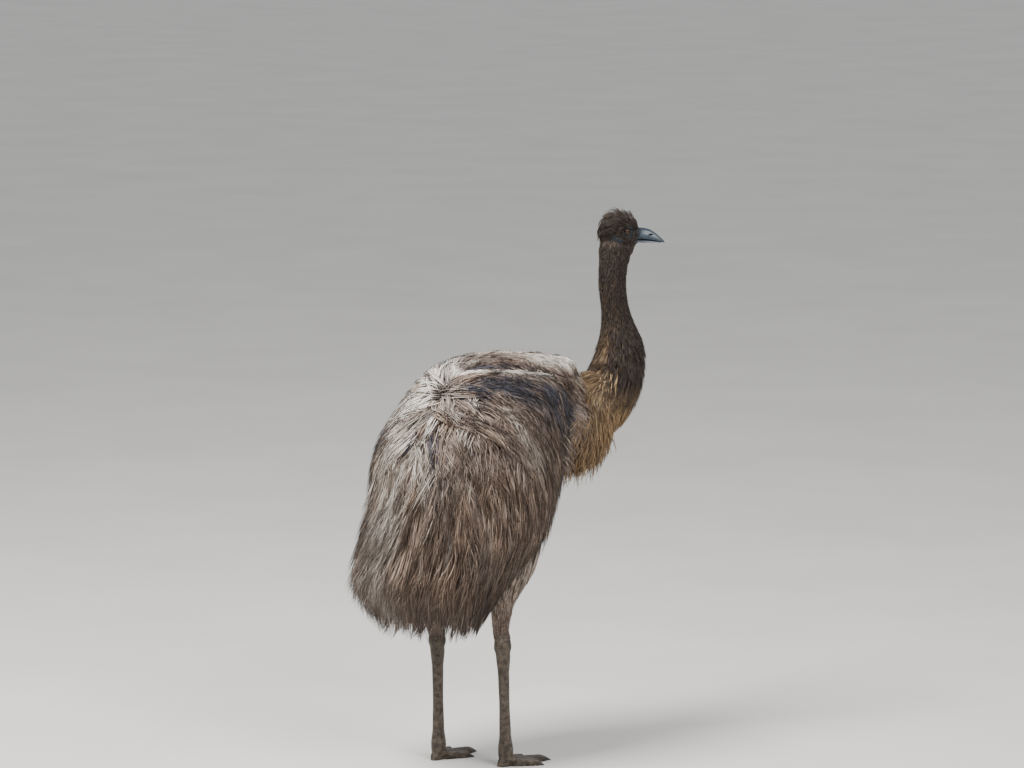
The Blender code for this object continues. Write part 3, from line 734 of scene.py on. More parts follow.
def leg_skin(side):
    """Hock, shank and toes of one leg in one skin, with the end of its thigh."""
    parts = [thigh_skin(side, THIGH_JOIN, 1.0)]
    shares = [0, 0.03, 0.07, 0.11, 0.15, *np.linspace(0.2, 0.88, 12), 0.92, 0.96, 1.0]
    parts.append(grown_tube("shank", [[shank_at(side, s, a, -0.0006) for a in RING] for s in shares]))
    for kind in TOES:
        sizes = [toe_sizes(kind, t) for t in np.linspace(0, 1, 19)]
        parts.append(grown_tube("toe", [[toe_at(side, kind, *row, a) for a in RING] for row in sizes]))
    # The ball of the foot, where the three toes and the shank meet
    parts.append(pebble("ball", FEET[side] + SHIFT + BALL_PLACE, BALL_SIZE))
    leg = fused(parts, f"leg_skin_{side}", *LEG_CELLS)
    move_points(leg, np.maximum(points_of(leg), (-np.inf, -np.inf, 0.0)))
    return leg


def whole_skin(face, hide, scaled):
    """One skin from the bill to the toes; its three finishes meet under the feathers."""
    round_body = [body_at(q, RING, np.full(len(RING), -BODY_SINK)) for q in np.linspace(0, 1, 15)]
    neck = fused([neck_skin("neck", 0.0, NECK_JOIN + 0.03, 26)], "neck_skin", *LIMB_CELLS)
    parts = [head_skin(), neck, fused([grown_tube("body", round_body)], "body_skin", *BODY_CELLS)]
    names = ["torso", "rump", "neck_base", "neck", "head"]
    for side in ("right", "left"):
        parts.append(leg_skin(side))
        parts.append(fused([thigh_skin(side, 0.0, THIGH_JOIN + 0.06)], "thigh_skin", *LIMB_CELLS))
        names += [f"drumstick_{side}", f"shank_{side}", *(f"toe_{kind}_{side}" for kind in TOES)]
    skin = joined([combined(parts[0], parts[1:], "UNION"), lids(1), lids(-1)], "emu_skin")
    dressed(skin, "emu_skin", [face, hide, scaled], names)
    middles = np.empty(len(skin.data.polygons) * 3)
    skin.data.polygons.foreach_get("center", middles)
    height = middles[2::3]
    finish = np.where(height > FACE_LEVEL, 0, np.where(height < SCALES_LEVEL, 2, 1))
    skin.data.polygons.foreach_set("material_index", finish.astype(np.int32))
    return skin


# ---------------------------------------------------------------- bill, eyes, scutes, claws
# Distance from the skull's middle, top, edge of the gape, half width
UPPER_BILL = (
    (0.050, 0.016, -0.011, 0.015),
    (0.072, 0.0195, -0.0115, 0.0150),
    (0.090, 0.0175, -0.0115, 0.0130),
    (0.107, 0.0100, -0.0130, 0.0105),
    (0.122, -0.0005, -0.0150, 0.0075),
    (0.133, -0.0095, -0.0170, 0.0045),
    (0.139, -0.0155, -0.0190, 0.0020),
)
# The same with its keel in place of the top
LOWER_BILL = (
    (0.045, -0.0120, -0.0260, 0.0150),
    (0.072, -0.0123, -0.0245, 0.0140),
    (0.092, -0.0123, -0.0225, 0.0118),
    (0.110, -0.0138, -0.0208, 0.0088),
    (0.125, -0.0158, -0.0200, 0.0050),
    (0.131, -0.0168, -0.0190, 0.0025),
)
BILL_RING = np.linspace(0, math.tau, 65)[:-1]
BILL_SQUARENESS, ROOF_SQUARENESS = 2.3, 1.9
# Each half comes this much closer to the other than its row says, so the gape is shut
BILL_SHUT = 0.0004
# How steeply it droops ahead of that place
BILL_DROOP, DROOP_START = 0.10, 0.055
CULMEN_RISE, CULMEN_WIDTH = 0.0011, 0.0032
GROOVE_DEPTH, GROOVE_LEVEL, GROOVE_WIDTH = 0.0007, 0.62, 0.10
NOSTRIL = Vector((0.097, 0.0108, -0.0015))
NOSTRIL_SIZE = (0.0085, 0.0068, 0.0028)
# Edges bent more than this stay crisp
NOSTRIL_EDGE, SCUTE_EDGE = math.radians(30), math.radians(50)


def bill_half(name, rows, rising):
    """Half a bill: flat at the gape, with a raised ridge along the roof of the upper one."""
    rings = []
    for t in np.linspace(0, 1, 44):
        x, crown, gape, width = rows_at(rows, t)[0]
        gape -= BILL_SHUT * rising
        y = width * rounded(np.cos(BILL_RING), BILL_SQUARENESS)
        rise = np.maximum(np.sin(BILL_RING), 0.0) ** (2 / ROOF_SQUARENESS)
        ridge = CULMEN_RISE * bump(y, 0, CULMEN_WIDTH) * (rise > 0.5) * (1 - 0.6 * t) * max(rising, 0)
        z = gape + (crown - gape) * rise + ridge - BILL_DROOP * max(x - DROOP_START, 0.0)
        # A shallow groove runs from the nostril down towards the tip
        deep = GROOVE_DEPTH * bump(rise, GROOVE_LEVEL, GROOVE_WIDTH) * math.sin(math.pi * min(1, 1.3 * t))
        rings.append(turned_to_head(np.stack([x + 0 * y, y - np.sign(y) * deep, z], axis=-1)))
    return grown_tube(name, rings)


def bill(horn, jaw_painted_shade):
    upper = bill_half("upper", UPPER_BILL, 1)
    nostrils = [head_pebble("nostril", NOSTRIL, NOSTRIL_SIZE, hand) for hand in (1, -1)]
    combined(upper, nostrils, "DIFFERENCE")
    upper.data.set_sharp_from_angle(angle=NOSTRIL_EDGE)
    dressed(upper, "bill_upper_horn", [horn], ["bill_upper"])
    lower = bill_half("lower", LOWER_BILL, -1)
    dressed(lower, "bill_lower_horn", [jaw_painted_shade], ["bill_lower"])


def eyeball(side, hand, finish):
    """An eyeball with a bulging clear front; iris holds the distance from its middle."""
    ball = head_pebble("eyeball", EYE_PLACE, (EYE_RADIUS,) * 3, hand, segments=40, rings=28)
    centre = turned_to_head(mirrored(EYE_PLACE, hand))
    away = (points_of(ball) - centre) / EYE_RADIUS
    angle = np.arccos(np.clip(away @ head_way(eye_axis(hand)), -1, 1))
    move_points(ball, centre + away * EYE_RADIUS * (1 + 0.06 * bump(angle, 0, 0.55))[:, None])
    ring = ball.data.attributes.new("iris", "FLOAT", "POINT")
    ring.data.foreach_set("value", np.clip(angle / 1.05, 0, 1).astype(np.float32))
    dressed(ball, f"eyeball_{side}", [finish], [f"eye_{side}"])


SCUTE_THICKNESS = 0.0011
# Along a plate and how thick it is there, from its edge tucked into the skin
SCUTE_PROFILE = ((0.0, -1.2), (0.06, 0.4), (0.3, 1.0), (0.75, 0.9), (0.97, 0.25), (1.0, -1.2))
# How many plates, from where to where along the shank and the toes, and how closely
SHANK_SCUTES, SHANK_SPAN, SHANK_FILL = 30, (0.13, 0.985), 0.97
TOE_SCUTES, TOE_SPAN, TOE_FILL = {"inner": 11, "middle": 17, "outer": 12}, (0.14, 0.955), 0.96
TOE_ARC = np.radians(np.linspace(32, 148, 9))
# A claw's width and height at its root as shares of its toe's, how far it starts inside
# the toe, how much higher it lies at its root than at its tip, and how high there
CLAW_WIDE, CLAW_HIGH, CLAW_INSIDE = 0.74, 0.47, 0.012
CLAW_ROOT_LIFT, CLAW_TIP_LIFT = 0.0035, 0.0006


def plate(low, high, across, place):
    """Points and faces of a bent plate, raised in the middle and tucked in at its edges.

    place(s, angle, lift) gives points; the plate runs from s = low to high and over the
    angles across."""
    points, faces = [], []
    for angle in across:
        edge = 1 - (abs(angle - across[len(across) // 2]) / (across[-1] - across[0]) * 2) ** 6
        for s, rise in SCUTE_PROFILE:
            lift = SCUTE_THICKNESS * (rise * edge if rise > 0 else rise) - 0.0006 * (1 - edge)
            points.append(tuple(place(mix(low, high, s), angle, lift)))
    steps = len(SCUTE_PROFILE)
    for i in range(len(across) - 1):
        for j in range(steps):
            a, b = i * steps + j, i * steps + (j + 1) % steps
            faces.append((a, b, b + steps, a + steps))
    faces.append(tuple(range(steps))[::-1])
    faces.append(tuple(range(len(points) - steps, len(points))))
    return points, faces


def scutes(side, finish):
    """The overlapping plates down the front of the shank and over each toe."""
    plates = []

    def lay(count, span, fill, across_of, place):
        for i in range(count):
            low, high = mix(*span, i / count), mix(*span, (i + fill) / count)
            plates.append(plate(low, high, across_of(i), place))

    def shank_arc(i):
        half = math.radians(62 + 10 * math.sin(i * 2.4))
        middle = math.radians(5 * math.sin(i * 1.7))
        return np.linspace(middle - half, middle + half, 9)

    lay(SHANK_SCUTES, SHANK_SPAN, SHANK_FILL, shank_arc, lambda *place: shank_at(side, *place))
    for kind, count in TOE_SCUTES.items():

        def on_toe(s, angle, lift):
            x, height, width = toe_sizes(kind, s)
            return toe_at(side, kind, x, height + lift, width + lift, angle)

        lay(count, TOE_SPAN, TOE_FILL, lambda i: TOE_ARC, on_toe)
    mesh = bpy.data.meshes.new("scutes")
    points, faces = [], []
    for new_points, new_faces in plates:
        faces += [tuple(len(points) + i for i in face) for face in new_faces]
        points += new_points
    mesh.from_pydata(points, [], faces)
    made = from_mesh("scutes", mesh)
    select_only(made)
    turn_faces_out()
    dressed(made, f"scutes_{side}", [finish])
    made.data.set_sharp_from_angle(angle=SCUTE_EDGE)


def claw(side, kind, finish):
    """A blunt curved claw that grows out of its toe."""
    _, length, _, tip = TOES[kind]
    rings = []
    for t in np.linspace(0, 0.985, 14):
        width = tip * CLAW_WIDE * (1 - t**1.9)
        height = TOE_HEIGHT * CLAW_HIGH * (1 - t**1.5)
        x = length - CLAW_INSIDE + CLAW_LENGTH[kind] * t
        lift = Vector((0, 0, CLAW_ROOT_LIFT * (1 - t) ** 2 + CLAW_TIP_LIFT))
        rings.append([toe_at(side, kind, x, height, width, a) + lift for a in RING])
    made = grown_tube("claw", rings)
    dressed(made, f"claw_{kind}_{side}_horn", [finish], [f"claw_{kind}_{side}"])


# ---------------------------------------------------------------- plumage
# Share of the way down a vane and its share of the width
VANE_PLACES = (0.0, 0.25, 0.6, 0.85, 1.0)
VANE_WIDTHS = (0.45, 1.0, 0.95, 0.55, 0.0)
# How far its back stands out, and how much each is turned about itself
VANE_KEEL = 0.7
VANE_ROLL = 0.5
PATCH = 0.003
STEPS = np.linspace(0, 1, 5)
SHORT_STEPS = np.linspace(0, 1, 4)


def vanes(name, centres, outs, width, tone, roots, finish, slot):
    """One joined mesh of closed three-edged vanes.

    centres, points down each vane, n by k; outs, the way out of the coat at each; width,
    one for each vane; tone, its shade and then its marking, one or k of them; roots, its
    place on the unwrap of the skin.
    """
    n, k, _ = centres.shape
    along = unit(np.gradient(centres, axis=1))
    side = unit(np.cross(along, outs))
    out = np.cross(side, along)
    roll = draw.normal(0, VANE_ROLL, n)[:, None, None]
    side, out = side * np.cos(roll) + out * np.sin(roll), out * np.cos(roll) - side * np.sin(roll)
    places = np.linspace(0, 1, k)
    half = (width[:, None] / 2 * np.interp(places, VANE_PLACES, VANE_WIDTHS))[:, :-1, None]
    c, s, o = centres[:, :-1], side[:, :-1], out[:, :-1]
    rings = np.stack([c + s * half, c - s * half, c + o * half * VANE_KEEL], axis=2)
    points = np.concatenate([rings.reshape(n, -1, 3), centres[:, -1:]], axis=1)
    each = points.shape[1]
    # Round a ring; the first face caps the root, and the last ones meet in the tip
    edges = ((2, 0), (0, 1), (1, 2))
    faces = [(2, 1, 0)]
    for r in range(0, 3 * (k - 2), 3):
        for a, b in edges:
            faces += [(r + a, r + b, r + b + 3), (r + a, r + b + 3, r + a + 3)]
    faces += [(each - 4 + a, each - 4 + b, each - 1) for a, b in edges]
    corners = (np.array(faces)[None] + (np.arange(n) * each)[:, None, None]).reshape(-1)
    mesh = bpy.data.meshes.new(name)
    mesh.vertices.add(n * each)
    mesh.loops.add(len(corners))
    mesh.polygons.add(len(corners) // 3)
    mesh.vertices.foreach_set("co", points.reshape(-1).astype(np.float32))
    mesh.loops.foreach_set("vertex_index", corners.astype(np.int32))
    mesh.polygons.foreach_set("loop_start", np.arange(0, len(corners), 3, dtype=np.int32))
    mesh.update(calc_edges=True)
    down = np.append(np.repeat(places[:-1], 3), 1.0)
    marking = np.broadcast_to(tone[:, 1:], (n, k))
    held = np.empty((n, each, 3), np.float32)
    held[..., 0] = down
    held[..., 1] = tone[:, 0:1]
    held[..., 2] = np.concatenate([np.repeat(marking[:, :-1], 3, axis=1), marking[:, -1:]], axis=1)
    mesh.attributes.new("tone", "FLOAT_VECTOR", "POINT").data.foreach_set("vector", held.ravel())
    aside = np.append(np.tile((0.0, 1.0, 0.5), k - 1), 0.5)
    unwrap = np.clip(roots[:, None, :] + PATCH * pairs(aside, down)[None], 0, 1)
    unwrap = unwrap.reshape(-1, 2)[corners].astype(np.float32)
    mesh.uv_layers.new(name="OFBake").data.foreach_set("uv", unwrap.ravel())
    return dressed(from_mesh(name, mesh), name, [finish])


def ways_out(surface, level, turn, lifted, step):
    """The way out of a surface at those places, from points a step over and under it."""
    return unit(surface(level, turn, lifted + step) - surface(level, turn, lifted - step))


def in_neck(points):
    """Which of the points lie inside the neck's tube."""
    inside = np.zeros(len(points), bool)
    for t in np.linspace(0, 0.5, 14):
        middle = neck_at([t, t], np.array([0.0, math.pi]), 0.0).mean(axis=0)
        inside |= np.linalg.norm(points - middle, axis=1) < 0.095
    return inside


def neck_line():
    """Points down the middle of the neck, and its half-thickness at each."""
    t = np.linspace(0.05, 0.60, 24)
    ring = np.stack([neck_at(t, np.full(24, turn), np.zeros(24)) for turn in RING])
    middle = ring.mean(axis=0)
    return middle, np.linalg.norm(ring - middle, axis=2).mean(axis=0)


def clear_of_neck(centres, margin):
    """The same points, moved out of the neck where they came inside it."""
    middle, thick = neck_line()
    apart = np.linalg.norm(centres[:, :, None] - middle, axis=3)
    near = apart.argmin(axis=2)
    away = np.take_along_axis(apart, near[..., None], axis=2)[..., 0]
    wanted = np.maximum(away, thick[near] + margin)
    return middle[near] + (centres - middle[near]) * (wanted / away)[..., None]


BODY_LOCKS = 3660
VANES_PER_LOCK = 12
COAT_PIECES = 6
COAT_WIDTHS = (0.0024, 0.0038)
CREST_WIDTHS = (0.0022, 0.0034)
# Where the coat fans out from, at the rear of the back, how far it steers the vanes, how
# close to it they stop turning, how far out the tufts are short and dense, and how much so
WHORL = np.array((-0.305, -0.064, 1.158))
WHORL_REACH = 0.36
WHORL_SOFT = 0.085
WHORL_TUFTS = 0.11
WHORL_SHORTER, WHORL_DENSER = 0.60, 2.2
# Lengths by the parting and from half way down
LOCK_LENGTHS = (0.19, 0.29)
LOCK_SPREAD = 0.014
# Levels of their roots, and how much of the way down the ragged hem may be short
LOCK_LEVELS = (-PARTING, 0.90)
HEM_RAGGED = 0.09
# How far a lock drifts sideways, in radians, how much it bows and its vanes wave, in metres
LOCK_SWAY, LOCK_BOW, VANE_WAVE = 0.075, 0.012, 0.0035
# The slate patch below the parting, dark feathers with a painted bluish reflection of the sky:
# how dark, how far below it, how high above and below that, and from where to where round
# the body it fades out at the rear and at the front
SLATE, SLATE_BELOW, SLATE_HIGH = 0.60, 0.100, (0.042, 0.062)
SLATE_REAR, SLATE_FRONT = (2.38, 1.98), (0.55, 0.80)
# Other dark patches: how dark, level and height, turn from the front and width. The first
# is painted shadow where the neck meets the body
DARK_PATCHES = (
    (0.28, 0.385, 0.08, 0.90, 0.20),
    (0.26, 0.265, 0.030, 2.30, 0.16),
    (0.05, 0.38, 0.12, 2.52, 0.20),
)

# Vanes of the shoulder that hang over the neck: how freely, from which turn from the front
# and which levels, each given from none to all, how much they droop at each step, how far
# they keep off the neck, and how far it may throw them
FREE_SHARE, FREE_TURN, FREE_TOP, FREE_FOOT = 0.75, (1.25, 0.90), (0.14, 0.26), (0.62, 0.47)
FREE_DROOP, NECK_CLEAR, NECK_THROW = 0.30, 0.006, 0.045


def flow(q, phi, reach):
    """Which way the coat lies at a place: change of q and of phi for each metre of vane.

    Vanes run away from the whorl, out from the parting and down."""
    q = np.maximum(q, -0.7 * PARTING)
    here = body_at(q, phi, reach)
    down = (body_at(q + 0.01, phi, reach) - here) / 0.01
    around = (body_at(q, phi + 0.01, reach) - here) / 0.01
    away = here - WHORL
    far = np.linalg.norm(away, axis=1, keepdims=True)
    pull = np.exp(-far / WHORL_REACH)
    # Just below the parting the coat is combed outwards and down
    comb = 0.55 * bump(here[:, 1], 0, 0.11) * ramp(here[:, 0], -0.25, -0.10)
    want = away / np.maximum(far, WHORL_SOFT) * pull
    want[:, 2] -= 1 - pull[:, 0]
    want[:, 1] += np.sign(np.sin(phi)) * comb
    dd, da, aa = ((u * v).sum(1) for u, v in ((down, down), (down, around), (around, around)))
    wd, wa = (want * down).sum(1), (want * around).sum(1)
    area = np.maximum(dd * aa - da * da, 1e-6)
    move_q, move_phi = (wd * aa - wa * da) / area, (wa * dd - wd * da) / area
    pace = np.sqrt(move_q**2 * dd + 2 * move_q * move_phi * da + move_phi**2 * aa)
    return move_q / np.maximum(pace, 0.02), move_phi / np.maximum(pace, 0.02)


def followed(q, phi, length):
    """The way a lock of that length takes over the coat from its root, in q and in phi."""
    stride = length / (len(STEPS) - 1)
    levels, turns = [q], [phi]
    for _ in STEPS[1:]:
        move_q, move_phi = flow(levels[-1], turns[-1], np.full(len(q), 0.7))
        levels.append(levels[-1] + move_q * stride)
        turns.append(turns[-1] + move_phi * stride)
    return np.stack(levels, axis=1), np.stack(turns, axis=1)


def body_marking_and_painted_light(q, phi):
    """Less than 0.5 where the coat is slate or dark or painted with shadow, more where it is pale or
    painted with highlights of the sun.
    """
    front = from_front(phi)
    below = q - np.interp(front, PARTING_TURNS, PARTING_LEVELS)
    # The slate: dark feathers with a painted bluish reflection of the sky
    dark = SLATE * bump(below, SLATE_BELOW, np.where(below < SLATE_BELOW, *SLATE_HIGH))
    dark = dark * ramp(front, *SLATE_REAR) * ramp(front, *SLATE_FRONT)
    # Dark patches, the first of them painted shadow where the neck meets the body
    for depth, level, high, turn, wide in DARK_PATCHES:
        dark = dark + depth * bump(q, level, high) * bump(front, turn, wide)
    # Painted highlights of the sun on the ridge beyond the parting, on the hips and on the rear, and a
    # long pale stroke down the flank
    far_ridge_highlight = 0.38 * ramp(-over_parting(q, phi), 0, 0.03) * ramp(front, 1.75, 1.35)
    hips_highlight = 0.36 * bump(q, 0.33, 0.17) * ramp(front, 2.60, 2.85)
    rear_highlight = 0.24 * ramp(front, 2.75, 3.00) * ramp(q, 0.35, 0.55)
    stroke = 0.26 * bump(q, 0.27 + 0.44 * (1.95 - front), 0.035)
    stroke = stroke * ramp(front, 2.05, 1.95) * ramp(front, 1.3, 1.5)
    return 0.5 - dark + far_ridge_highlight + hips_highlight + rear_highlight + stroke


def parting_painted_light(q, phi):
    """What the parting adds: painted shade in its dip and a painted highlight on the ridge just below."""
    front = from_front(phi)
    over = over_parting(q, phi)
    # Painted shade in the parting's dip, and a painted highlight on the ridge below it
    dark = 0.52 * bump(over, -0.004, 0.018) * ramp(front, 2.85, 2.55)
    ridge = 0.85 * bump(over, 0.033, 0.020) * ramp(front, 1.10, 1.35)
    return ridge * np.maximum(ramp(front, 3.05, 2.85), 0.3) - dark


def marking_spread(q, phi):
    """How unlike its neighbours a lock may be: most near the whorl and on the ridge."""
    whorl = bump(q, 0.25, 0.15) * bump(from_front(phi), 2.85, 0.45)
    ridge = bump(over_parting(q, phi), 0.03, 0.03)
    return 0.05 + 0.30 * np.maximum(whorl, 0.6 * ridge)


def speeds(q, phi, reach):
    """Metres of coat per unit of q and per radian at those places."""
    step = np.minimum(q + 0.08, 1.0) - q
    down = body_at(q + step, phi, np.minimum(reach + 0.2, 1)) - body_at(q, phi, reach)
    around = body_at(q, phi + 0.05, reach) - body_at(q, phi - 0.05, reach)
    down = np.linalg.norm(down, axis=1) / np.maximum(step, 0.01)
    return down, np.maximum(np.linalg.norm(around, axis=1) / 0.1, 0.05)


def hung_over_neck(centres, front, q, stride):
    """The vanes of the shoulder run on past the coat's edge and hang over the neck."""
    free = FREE_SHARE * ramp(front, *FREE_TURN) * ramp(q, *FREE_FOOT) * ramp(q, *FREE_TOP)
    heading = centres[:, 2] - centres[:, 1]
    heading[:, 2] = np.minimum(heading[:, 2], -0.2 * np.linalg.norm(heading[:, :2], axis=1))
    heading = unit(heading)
    straight = centres.copy()
    for k in range(2, len(STEPS)):
        heading[:, 2] -= FREE_DROOP
        heading = unit(heading)
        straight[:, k] = straight[:, k - 1] + heading * stride
    share = free[:, None, None] * np.clip(STEPS * 1.6 - 0.3, 0, 1)[None, :, None]
    straight = mix(centres, straight, share)
    pushed = clear_of_neck(straight, NECK_CLEAR)
    # Those that the neck would throw far off keep to the coat
    near = np.linalg.norm(pushed - straight, axis=2).max(axis=1) < NECK_THROW
    return np.where((share > 0) & near[:, None, None], pushed, centres)


def body_plumage(finish):
    """The shaggy coat: locks of long loose vanes that part along the back and hang."""
    many = BODY_LOCKS * 8
    q = draw.uniform(*LOCK_LEVELS, many)
    phi = draw.uniform(0, math.tau, many)
    down, around = speeds(np.maximum(q, 0.0), phi, np.full(many, 0.4))
    root = body_at(q, phi, np.zeros(many))
    near_whorl = bump(np.linalg.norm(root - WHORL, axis=1), 0, WHORL_TUFTS)
    # Likelier where a step of q and phi covers more coat, and close round the whorl
    weight = down * around * ~in_neck(root) * (1 + WHORL_DENSER * near_whorl)
    pick = draw.choice(many, BODY_LOCKS, replace=False, p=weight / weight.sum())
    q, phi, near_whorl = q[pick], phi[pick], near_whorl[pick]
    pace, swing = speeds(q, phi, np.full(BODY_LOCKS, 0.6))
    # Longest on the rump and thighs, shorter along the parting and over the shoulder
    length = mix(*LOCK_LENGTHS, ramp(q, 0.05, 0.55)) * draw.uniform(0.75, 1.15, BODY_LOCKS)
    # Short tufts round the whorl; above the parting, only long enough to reach it
    length *= 1 - WHORL_SHORTER * near_whorl
    over = over_parting(q, phi)
    length = np.where(over < -0.01, np.minimum(length, 0.05 - 0.9 * over), length)
    levels, turns = followed(q, phi, length)
    # Those that would pass the ragged hem stop there
    hem = 1.0 - HEM_RAGGED * draw.uniform(0, 1, BODY_LOCKS) ** 2
    length = length * np.clip((hem - q) / np.maximum(levels[:, -1] - q, 1e-3), 0, 1)
    levels, turns = followed(q, phi, length)
    reach = 1.0 - 0.30 * draw.uniform(0, 1, BODY_LOCKS) ** 1.3
    sway = draw.normal(0, LOCK_SWAY, BODY_LOCKS) * (1 + near_whorl)
    shade = draw.uniform(0, 1, BODY_LOCKS)
    clump = np.maximum(draw.uniform(0.50, 0.95, BODY_LOCKS), 0.9 * near_whorl)
    bow = draw.normal(0, LOCK_BOW, BODY_LOCKS)

    # The vanes of each lock, which start apart and draw together down to its tip
    n = BODY_LOCKS * VANES_PER_LOCK
    lock = np.repeat(np.arange(BODY_LOCKS), VANES_PER_LOCK)
    aside, below = LOCK_SPREAD * draw.normal(0, 1, (n, 2)).T[..., None]
    long = draw.uniform(0.70, 1.08, n)[:, None]
    s = STEPS[None, :]
    apart = 1 - clump[lock][:, None] * s**1.2
    wave = draw.uniform(0, math.tau, n)[:, None]
    curl = draw.normal(0, VANE_WAVE, n)[:, None] * np.sin(wave + 6.0 * s) * s
    curl = curl + bow[lock][:, None] * np.sin(math.pi * s * 1.3)
    turn = phi[lock][:, None] + (turns - phi[:, None])[lock] * long + sway[lock][:, None] * s**1.3
    turn = turn + (aside * apart + curl) / swing[lock][:, None]
    level = q[lock][:, None] + (levels - q[:, None])[lock] * long + below / pace[lock][:, None] * apart
    level = np.clip(level, -PARTING, 1.0)
    lift = np.minimum(reach[lock] * draw.uniform(0.95, 1.02, n), 1.0)[:, None]
    raised = mix(-0.05, lift, s**0.5)
    outs = ways_out(body_at, level, turn, raised, 0.1)
    stride = length[lock][:, None] * long / (len(STEPS) - 1)
    centres = hung_over_neck(body_at(level, turn, raised), from_front(turn[:, -1]), q[lock], stride)

    width = draw.uniform(*COAT_WIDTHS, n) * (1 + 0.35 * near_whorl[lock])
    own = np.clip(0.60 * shade[lock] + 0.40 * draw.uniform(0, 1, n), 0, 1)
    # Its colour is partly its own, from near its root, and mostly that of the place it lies in
    own_lock = draw.normal(0, 1, BODY_LOCKS) * marking_spread(q, phi)
    marking = mix(body_marking_and_painted_light(level[:, 1:2], turn[:, 1:2]), body_marking_and_painted_light(level, turn), 0.7)
    # The parting's painted shade and the painted highlight on the ridge below it
    marking = marking + parting_painted_light(level, turn)
    marking = marking + (own_lock[lock] + draw.normal(0, 0.05, n))[:, None]
    tone = np.concatenate([own[:, None], np.clip(marking, 0, 1)], axis=1)
    roots = pairs(share_round(turn[:, 0]), (level[:, 0] + PARTING) / (1 + PARTING))
    # From the bird's left round its front to its right, each piece behind the next
    order = np.argsort(np.mod(turn[:, 0] + math.pi / 2, math.tau), kind="stable")
    for i, part in enumerate(np.array_split(order, COAT_PIECES)):
        made = [values[part] for values in (centres, outs, width, tone, roots)]
        vanes(f"coat_{i + 1}", *made, finish, "plumage")


# Vanes of each group: how many, from where up the neck and how far round it they grow,
# how far they lean back, how long they are and how pale
CREASE_VANES = (
    (450, (0.22, 0.36), (2.20, 3.00), 0.25, 0.070, 0.60),
    (1100, (0.04, 0.20), (0.40, 2.10), 0.20, 0.065, 0.38),
)
MANTLE_VANES = 1700
# Levels and turns from the front of the mantle's roots, its lengths and droop at each step
MANTLE_LEVELS, MANTLE_TURNS = (0.06, 0.52), (0.45, 1.10)
MANTLE_LENGTHS, MANTLE_DROOP = (0.06, 0.13), 0.35


def hung(root, heading, long, droop):
    """Points down vanes that leave their roots along heading and droop a little each step."""
    heading = unit(heading)
    points = [root]
    for _ in STEPS[1:]:
        points.append(points[-1] + heading * (long / (len(STEPS) - 1))[:, None])
        heading = unit(heading - np.array([0.0, 0.0, droop]))
    return np.stack(points, axis=1)


def crease_plumage(finish):
    """Vanes that hang where the neck comes out of the coat: pale at the nape, dark below."""
    groups = []
    for n, span, turns, lean, length, hue in CREASE_VANES:
        hand = draw.choice((-1.0, 1.0), n)
        t = draw.uniform(*span, n)
        angle = hand * draw.uniform(*turns, n)
        root = neck_at(t, angle, np.full(n, -NECK_SINK))
        out = unit(neck_at(t, angle, np.full(n, 0.02)) - neck_at(t, angle, np.zeros(n)))
        down = np.stack([np.full(n, -lean), draw.normal(0, 0.12, n), np.full(n, -1.0)], axis=-1)
        down[:, 0] += draw.normal(0, 0.12, n)
        long = length * draw.uniform(0.6, 1.2, n)
        s = STEPS[None, :, None]
        rise = (NECK_SINK + draw.uniform(0.004, 0.024, n))[:, None, None] * np.sin(s * 2.2)
        centres = root[:, None] + out[:, None] * rise + (unit(down) * long[:, None])[:, None] * s
        centres = clear_of_neck(centres, -NECK_SINK)
        outs = np.repeat(out[:, None], len(STEPS), axis=1)
        shade = np.clip(draw.normal(hue, 0.10, n), 0, 1)
        tone = pairs(draw.uniform(0, 1, n), shade)
        groups.append((centres, outs, draw.uniform(*CREST_WIDTHS, n), tone, pairs(share_round(angle), t)))
    made = [np.concatenate(parts) for parts in zip(*groups)]
    vanes("shoulder_feathers", *made, finish, "plumage")


def mantle_plumage(finish):
    """Loose vanes that leave the coat's front edge and hang out over the neck's base."""
    n = MANTLE_VANES
    hand = draw.choice((-1.0, 1.0), n)
    q = draw.uniform(*MANTLE_LEVELS, n)
    phi = hand * mix(0.30, draw.uniform(*MANTLE_TURNS, n), ramp(q, 0, 0.16))
    root = body_at(q, phi, draw.uniform(0.0, 0.5, n))
    inwards = -0.30 * hand * draw.uniform(0, 1, n)
    heading = np.stack([np.full(n, 0.80), inwards, draw.uniform(-0.55, -0.15, n)], axis=-1)
    long = draw.uniform(*MANTLE_LENGTHS, n) * mix(0.45, 1.0, ramp(q, 0.12, 0.32))
    centres = hung(root, heading, long, MANTLE_DROOP)
    centres = clear_of_neck(centres, 0.003 + 0.012 * draw.uniform())
    out = np.stack([0 * hand, hand, np.full(n, 0.4)], axis=-1)
    outs = np.repeat(unit(out)[:, None], len(STEPS), axis=1)
    marking = mix(body_marking_and_painted_light(q, phi), 0.46, 0.4) + draw.normal(0, 0.07, n)
    tone = pairs(draw.uniform(0, 1, n), np.clip(marking, 0, 1))
    roots = pairs(share_round(phi), (q + PARTING) / (1 + PARTING))
    width = draw.uniform(*CREST_WIDTHS, n)
    vanes("mantle_feathers", centres, outs, width, tone, roots, finish, "plumage")


# Pieces of the neck's plumage: from where to where up the neck, how many vanes, the slot
NECK_PIECES = {
    "neck_base_feathers": (0.10, 0.50, 6800, "plumage"),
    "neck_feathers": (0.50, 0.94, 8700, "neck_plumage"),
}
# Heights between which the golden base turns into the dark neck
NECK_DARKENS = (1.035, 1.170)
# Lengths and widths at the neck's base and higher up
NECK_LENGTHS, NECK_WIDTHS = (0.115, 0.030), (0.0026, 0.0012)
# From where to where down the thigh, and their lengths, lifts and widths above and below
THIGH_VANES, THIGH_SPAN = 2300, (0.25, 0.90)
THIGH_LENGTHS, THIGH_LIFTS, THIGH_WIDTHS = (0.100, 0.035), (0.004, 0.0010), (0.0030, 0.0016)


